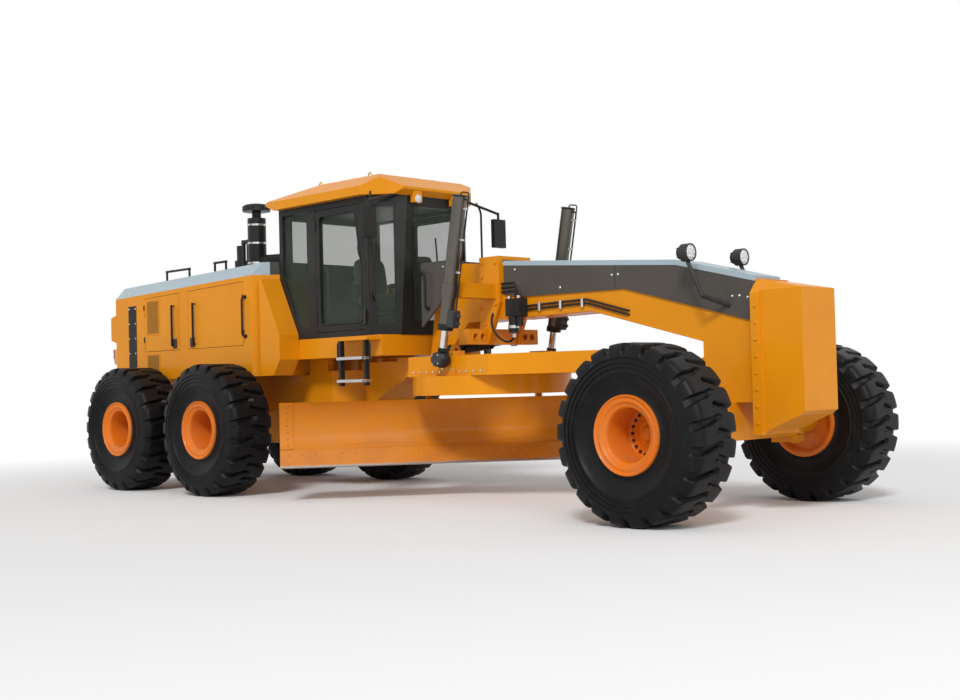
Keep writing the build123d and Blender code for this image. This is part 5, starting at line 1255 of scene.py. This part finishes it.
def dress_saddle():
    """Bolts on the saddle's plates and trunnion blocks, and the lock bar's shoulder rings."""
    bolts = Skin()
    for side in SIDES.values():
        out = side * LEFT
        heads(bolt, [(x, side * SADDLE_SIDE, z) for x, z in SADDLE_BOLTS], out, SADDLE_HEAD, bolts)
        spots = corners_about(mirrored(BLOCK_PLACE, side), *BLOCK_BOLT_SPREAD)
        heads(bolt, spots, out, BLOCK_HEAD, bolts)
    bolts.hang("saddle_bolts", FRONT, BODY_LOOK)
    rings = Skin()
    for place in LOCK_HOLES:
        rings.add(ring(place, AHEAD, *LOCK_RING), closed=True)
    rings.hang("lock_hole_rings", FRONT, BODY_LOOK)


LIFT_ALONG = unit((0.145, 0.0, 0.740))
LIFT_FRONT = np.cross(LEFT, LIFT_ALONG)
LIFT_AXES = np.array([LIFT_FRONT, LEFT, LIFT_ALONG])
LIFT_PIVOT = (X_MID_AXLE + 3.605, 0.88, 2.30)
LIFT_BALL = (X_MID_AXLE + 3.46, 0.88, 1.56)
LOW_GLAND = [(0.078, -0.436), (0.086, -0.430), (0.086, -0.372), (0.078, -0.366)]
TOP_GLAND = [(0.077, 1.000), (0.083, 1.004), (0.083, 1.018), (0.060, 1.026)]
PORT_SECTION = [(0.020, 0.0), (0.020, 0.05), (0.013, 0.055)]
PORT_PLACES = ((0.15, -0.34), (0.15, -0.26))
LIFT_LINE = [(0.06, 0.98), (0.13, 0.98), (0.13, -0.10), (0.13, -0.20)]
LIFT_LOOP = [(0.0, 1.01), (0.02, 1.055), (0.13, 1.055), (0.13, 0.90)]
LIFT_LINE_BEND, LIFT_LINE_RADIUS = 0.04, 0.010
LIFT_LOOP_BEND, LIFT_LOOP_RADIUS = 0.025, 0.008
PORT_BLOCK_PLACE = (0.105, -0.30)
PORT_BLOCK_SIZE = (0.10, 0.11, 0.19)
PORT_BLOCK_BEVEL = 0.010
LIFT_CLAMP_PLACES = ((0.106, 0.20), (0.106, 0.55), (0.106, 0.88))
LIFT_CLAMP_SIZE = (0.066, 0.030, 0.028)
BOOT_SECTION = [(0.052, 0.085), (0.060, 0.095), (0.052, 0.105), (0.060, 0.115), (0.050, 0.125)]
BALL_CAP = [(0.060, -0.006), (0.075, -0.004), (0.078, 0.012), (0.066, 0.030), (0.040, 0.036)]
CAP_STANDOFF, CAP_BOLT_STANDOFF = 0.078, 0.098
CAP_BOLT_CIRCLE, CAP_BOLT_COUNT = 0.058, 4
CAP_HEAD = (0.012, 0.012)
BALL_SEAT_SIDE = 0.80
BALL_BOLT_SPREAD = (0.085, (-0.10, 0.06))
BALL_HEAD = (0.014, 0.006)


def dress_lift_cylinder(name, side):
    """Gland rings, ports and oil lines on a lift barrel, a boot and cap at its ball, bolts at the seat."""
    barrel, rod = f"lift_barrel_{name}", f"lift_rod_{name}"
    out = side * LEFT
    pivot, ball = mirrored(LIFT_PIVOT, side), mirrored(LIFT_BALL, side)

    def on_barrel(front, along):
        return pivot + front * LIFT_FRONT + along * LIFT_ALONG

    glands = Skin(lathe(LOW_GLAND, pivot, LIFT_ALONG, 40), lathe(TOP_GLAND, pivot, LIFT_ALONG, 40))
    glands.hang(f"lift_glands_{name}", barrel, BLACK_LOOK)
    ports = Skin(slab(on_barrel(*PORT_BLOCK_PLACE), PORT_BLOCK_SIZE, PORT_BLOCK_BEVEL, LIFT_AXES))
    for place in PORT_PLACES:
        ports.add(lathe(PORT_SECTION, on_barrel(*place), LIFT_FRONT, BOLT_SIDES))
    ports.hang(f"lift_port_block_{name}", barrel, PLASTIC_LOOK)
    line = Skin(bar([on_barrel(*place) for place in LIFT_LINE], LIFT_LINE_BEND, LIFT_LINE_RADIUS))
    line.add(bar([on_barrel(*place) for place in LIFT_LOOP], LIFT_LOOP_BEND, LIFT_LOOP_RADIUS))
    line.hang(f"lift_oil_line_{name}", barrel, BLACK_LOOK)
    clamps = Skin(*[slab(on_barrel(*place), LIFT_CLAMP_SIZE, CLAMP_BEVEL, LIFT_AXES)
                    for place in LIFT_CLAMP_PLACES])
    clamps.hang(f"lift_line_clamps_{name}", barrel, STEEL_LOOK)
    Skin(lathe(BOOT_SECTION, ball, LIFT_ALONG, 36)).hang(f"lift_ball_boot_{name}", rod, SEAL_LOOK)
    cap = Skin(lathe(BALL_CAP, ball + CAP_STANDOFF * out, out, 36))
    cap.hang(f"lift_ball_cap_{name}", rod, PLASTIC_LOOK)
    spots = circle_spots(ball + CAP_BOLT_STANDOFF * out, out, CAP_BOLT_CIRCLE, CAP_BOLT_COUNT, pi / 4)
    heads(bolt, spots, out, CAP_HEAD).hang(f"lift_cap_bolts_{name}", rod, STEEL_LOOK)
    spots = corners_about((ball[0], side * BALL_SEAT_SIDE, ball[2]), *BALL_BOLT_SPREAD)
    heads(bolt, spots, out, BALL_HEAD).hang(f"lift_ball_bolts_{name}", "drawbar", STEEL_LOOK)


# Drawbar and blade
BEAM_FACE = 0.78
FLANGE_LEVEL = 1.425
FLANGE_BOLTS = np.arange(low("drawbar")[0] + 0.10, 1.86, 0.105)
FLANGE_HEAD = (0.014, 0.012)
BLADE_YAW = radians(37.5)
BLADE_CENTRE_X = X_MID_AXLE + 3.35
BLADE_ENDS = (-2.397, 1.873)
EDGE_TIP = np.array([-0.230, 0.397])
EDGE_UP = np.array([-0.6, 0.8])
EDGE_FRONT = np.array([0.8, 0.6])
EDGE_BOLT_ROW = EDGE_TIP + 0.165 * EDGE_UP
EDGE_BOLT_START, EDGE_BOLT_STEP = 0.09, 0.1525
EDGE_HEAD = (0.016, 0.007)
ARC_RADIUS = 0.423
ARC_CENTRE = EDGE_TIP + 0.23 * EDGE_UP - 0.02 * EDGE_FRONT + ARC_RADIUS * EDGE_FRONT
ARC_FOOT = -0.58
ARC_CROWN = np.arcsin((1.118 - ARC_CENTRE[1]) / ARC_RADIUS)
PLATE_OUTER, PLATE_INNER = ARC_RADIUS + 0.002, ARC_RADIUS - 0.010
PLATE_START, PLATE_STUDS, PLATE_STOP = 0.003, 0.085, 0.150
PLATE_STEPS = 24
END_BOLT_COUNT = 7
END_BOLT_FOOT, END_BOLT_CROWN = ARC_FOOT + 0.12, ARC_CROWN - 0.08
END_HEAD = (0.017, 0.008)


def dress_drawbar():
    """Bright bolts along the drawbar's lower flange on both sides."""
    bolts = Skin()
    for side in SIDES.values():
        spots = [(x, side * BEAM_FACE, FLANGE_LEVEL) for x in FLANGE_BOLTS]
        heads(bolt, spots, side * LEFT, FLANGE_HEAD, bolts)
    bolts.hang("drawbar_flange_bolts", "drawbar", STEEL_LOOK)


def blade_direction(section):
    """World direction of a (forward, height) direction in the blade's section."""
    forward, height = section[..., 0], section[..., 1]
    return np.stack([forward * cos(BLADE_YAW), -forward * sin(BLADE_YAW), height], axis=-1)


def blade_place(section, along):
    """World place of a (forward, height) point in the blade's section at a distance along the blade."""
    lengthways = np.array([sin(BLADE_YAW), cos(BLADE_YAW), 0.0])
    return blade_direction(section) + BLADE_CENTRE_X * AHEAD + np.multiply.outer(along, lengthways)


def arc_points(angles, radius):
    """Points on the moldboard's face, by their angles up from the level of the arc's centre."""
    return ARC_CENTRE + radius * np.stack([-np.cos(angles), np.sin(angles)], axis=-1)


def dress_blade():
    """Plough bolts along the cutting edge, and curved end plates with a column of bolts."""
    places = np.arange(BLADE_ENDS[0] + EDGE_BOLT_START, BLADE_ENDS[1], EDGE_BOLT_STEP)
    bolts = heads(dome, blade_place(EDGE_BOLT_ROW, places), blade_direction(EDGE_FRONT), EDGE_HEAD)
    bolts.hang("edge_bolts", "blade", WORN_LOOK)
    angles = np.linspace(ARC_FOOT, ARC_CROWN, PLATE_STEPS)
    outer, inner = arc_points(angles, PLATE_OUTER), arc_points(angles, PLATE_INNER)
    angles = np.linspace(END_BOLT_FOOT, END_BOLT_CROWN, END_BOLT_COUNT)
    ways = blade_direction(np.stack([np.cos(angles), -np.sin(angles)], axis=-1))
    plates, studs = Skin(), Skin()
    for end, inward in zip(BLADE_ENDS, (1, -1)):
        start, stop = end + inward * PLATE_START, end + inward * PLATE_STOP
        corners = [(outer, start), (inner, start), (inner, stop), (outer, stop)]
        plates.add(np.stack([blade_place(*corner) for corner in corners], axis=1))
        spots = blade_place(arc_points(angles, PLATE_INNER), end + inward * PLATE_STUDS)
        for spot, way in zip(spots, ways):
            studs.add(dome(spot, way, *END_HEAD))
    plates.hang("blade_end_plates", "blade", (BLADE_PAINT, "body_paint"))
    studs.hang("blade_end_bolts", "blade", WORN_LOOK)


NOSE_BOLT_X = X_FRONT_AXLE + 0.44
NOSE_BOLT_SIDE = 0.31
NOSE_BOLT_LEVELS = np.linspace(0.86, 1.94, 8)
NOSE_HEAD = (0.016, 0.012)


def dress_nose():
    """A column of bolts on each side of the push block's back plate."""
    bolts = Skin()
    for side in SIDES.values():
        spots = [(NOSE_BOLT_X, side * NOSE_BOLT_SIDE, z) for z in NOSE_BOLT_LEVELS]
        heads(bolt, spots, side * LEFT, NOSE_HEAD, bolts)
    bolts.hang("push_block_bolts", FRONT, BODY_LOOK)


# Stage
CAMERA_PLACE = (11.571, -10.700, 1.297)
CAMERA_YAW = 2.3496
CAMERA_PITCH = 0.0249
CAMERA_ROLL = -0.0260
CAMERA_REACH = 500
FOCAL_PIXELS = 1315.57
PICTURE_WIDTH = 960
SENSOR = 36.0


def place_object(name, data, place, right, up, back):
    """Puts a camera or lamp in the scene, turned so that it looks away from its back."""
    holder = bpy.data.objects.new(name, data)
    bpy.context.collection.objects.link(holder)
    turn = np.eye(4)
    turn[:3, :3] = np.column_stack([right, up, back])
    turn[:3, 3] = place
    holder.matrix_world = Matrix(turn.tolist())
    return holder


def set_camera():
    """Places the camera by its yaw, pitch and roll, as the photograph was seen."""
    yaw, pitch, roll = CAMERA_YAW, CAMERA_PITCH, CAMERA_ROLL
    ahead = np.array([cos(pitch) * cos(yaw), cos(pitch) * sin(yaw), sin(pitch)])
    right = np.array([sin(yaw), -cos(yaw), 0.0])
    up = np.cross(right, ahead)
    right, up = cos(roll) * right + sin(roll) * up, cos(roll) * up - sin(roll) * right
    camera = bpy.data.cameras.new("camera")
    camera.sensor_fit = "HORIZONTAL"
    camera.sensor_width = SENSOR
    camera.lens = SENSOR * FOCAL_PIXELS / PICTURE_WIDTH
    camera.clip_end = CAMERA_REACH
    bpy.context.scene.camera = place_object("camera", camera, CAMERA_PLACE, right, up, -ahead)


SUN_PLACE, SUN_AIM = np.array([9.0, -14.0, 15.0]), np.array([0.0, 0.0, 1.5])
SUN_STRENGTH = 1.7
SUN_SPREAD = radians(12)
PANEL_PLACE, PANEL_AIM = np.array([16.0, -9.0, 9.0]), np.array([1.0, 0.0, 1.5])
PANEL_POWER = 500
PANEL_SIZE = 9.0
SOFT_LEVEL = 0.50


def set_lights():
    """A soft sun, a round panel in front, and a surround that is white where it is seen."""
    sun = bpy.data.lights.new("key_sun", "SUN")
    sun.energy = SUN_STRENGTH
    sun.angle = SUN_SPREAD
    panel = bpy.data.lights.new("front_panel", "AREA")
    panel.energy = PANEL_POWER
    panel.shape = "DISK"
    panel.size = PANEL_SIZE
    for lamp, place, aim in ((sun, SUN_PLACE, SUN_AIM), (panel, PANEL_PLACE, PANEL_AIM)):
        place_object(lamp.name, lamp, place, *crossways(place - aim), unit(place - aim))
    world = bpy.data.worlds.new("surround")
    bpy.context.scene.world = world
    world.use_nodes = True
    tree = world.node_tree
    background = tree.nodes["Background"]
    background.inputs["Color"].default_value = (1.0, 1.0, 1.0, 1.0)
    level = SOFT_LEVEL + (1 - SOFT_LEVEL) * Value(tree, None).seen()
    tree.links.new(level.socket, background.inputs["Strength"])


FLOOR_REACH = 160.0
FLOOR_CORNERS = FLOOR_REACH * np.array([(-1, -1), (1, -1), (1, 1), (-1, 1)])
FLOOR_LEVEL = -0.001
FLOOR_PALE = ((0.86, 0.86, 0.86), (0.89, 0.89, 0.89))
FADE_DISTANCE = 11.0
FADE_BLUR = 4.5
WHITE = (1, 1, 1)
NO_LIGHT = (0, 0, 0)


def set_floor():
    """A pale floor that keeps the shadow and turns to plain white far from the machine."""
    floor = Finish("pale_floor", Roughness=0.9, Specular_IOR_Level=0.1, Emission_Strength=1.0)
    away = floor.place.node("ShaderNodeVectorMath", {"operation": "LENGTH"}, output=1, i0=floor.place)
    far = away.above(FADE_DISTANCE, FADE_BLUR) * floor.place.seen()
    pale = floor.place.noise(0.4, 3.0).blend(*FLOOR_PALE)
    floor.drive(Base_Color=far.blend(pale, NO_LIGHT), Emission_Color=far.blend(NO_LIGHT, WHITE))
    mesh = bpy.data.meshes.new("floor")
    corners = [(x, y, FLOOR_LEVEL) for x, y in FLOOR_CORNERS]
    mesh.from_pydata(corners, [], [(0, 1, 2, 3)])
    mesh.materials.append(floor.material)
    ground = bpy.data.objects.new("floor", mesh)
    bpy.context.collection.objects.link(ground)


bpy.context.scene.view_settings.view_transform = "Standard"
set_lights()
set_floor()
set_camera()
finish_nodes()
for wheel_place in WHEEL_PLACES:
    dress_wheel(wheel_place)
dress_hood()
dress_air_cleaner()
dress_cab()
dress_seat()
dress_steps()
dress_tail()
dress_front_frame()
dress_work_lamps()
dress_oil_lines()
dress_saddle()
for side_name, side_sign in SIDES.items():
    dress_lift_cylinder(side_name, side_sign)
dress_drawbar()
dress_blade()
dress_nose()
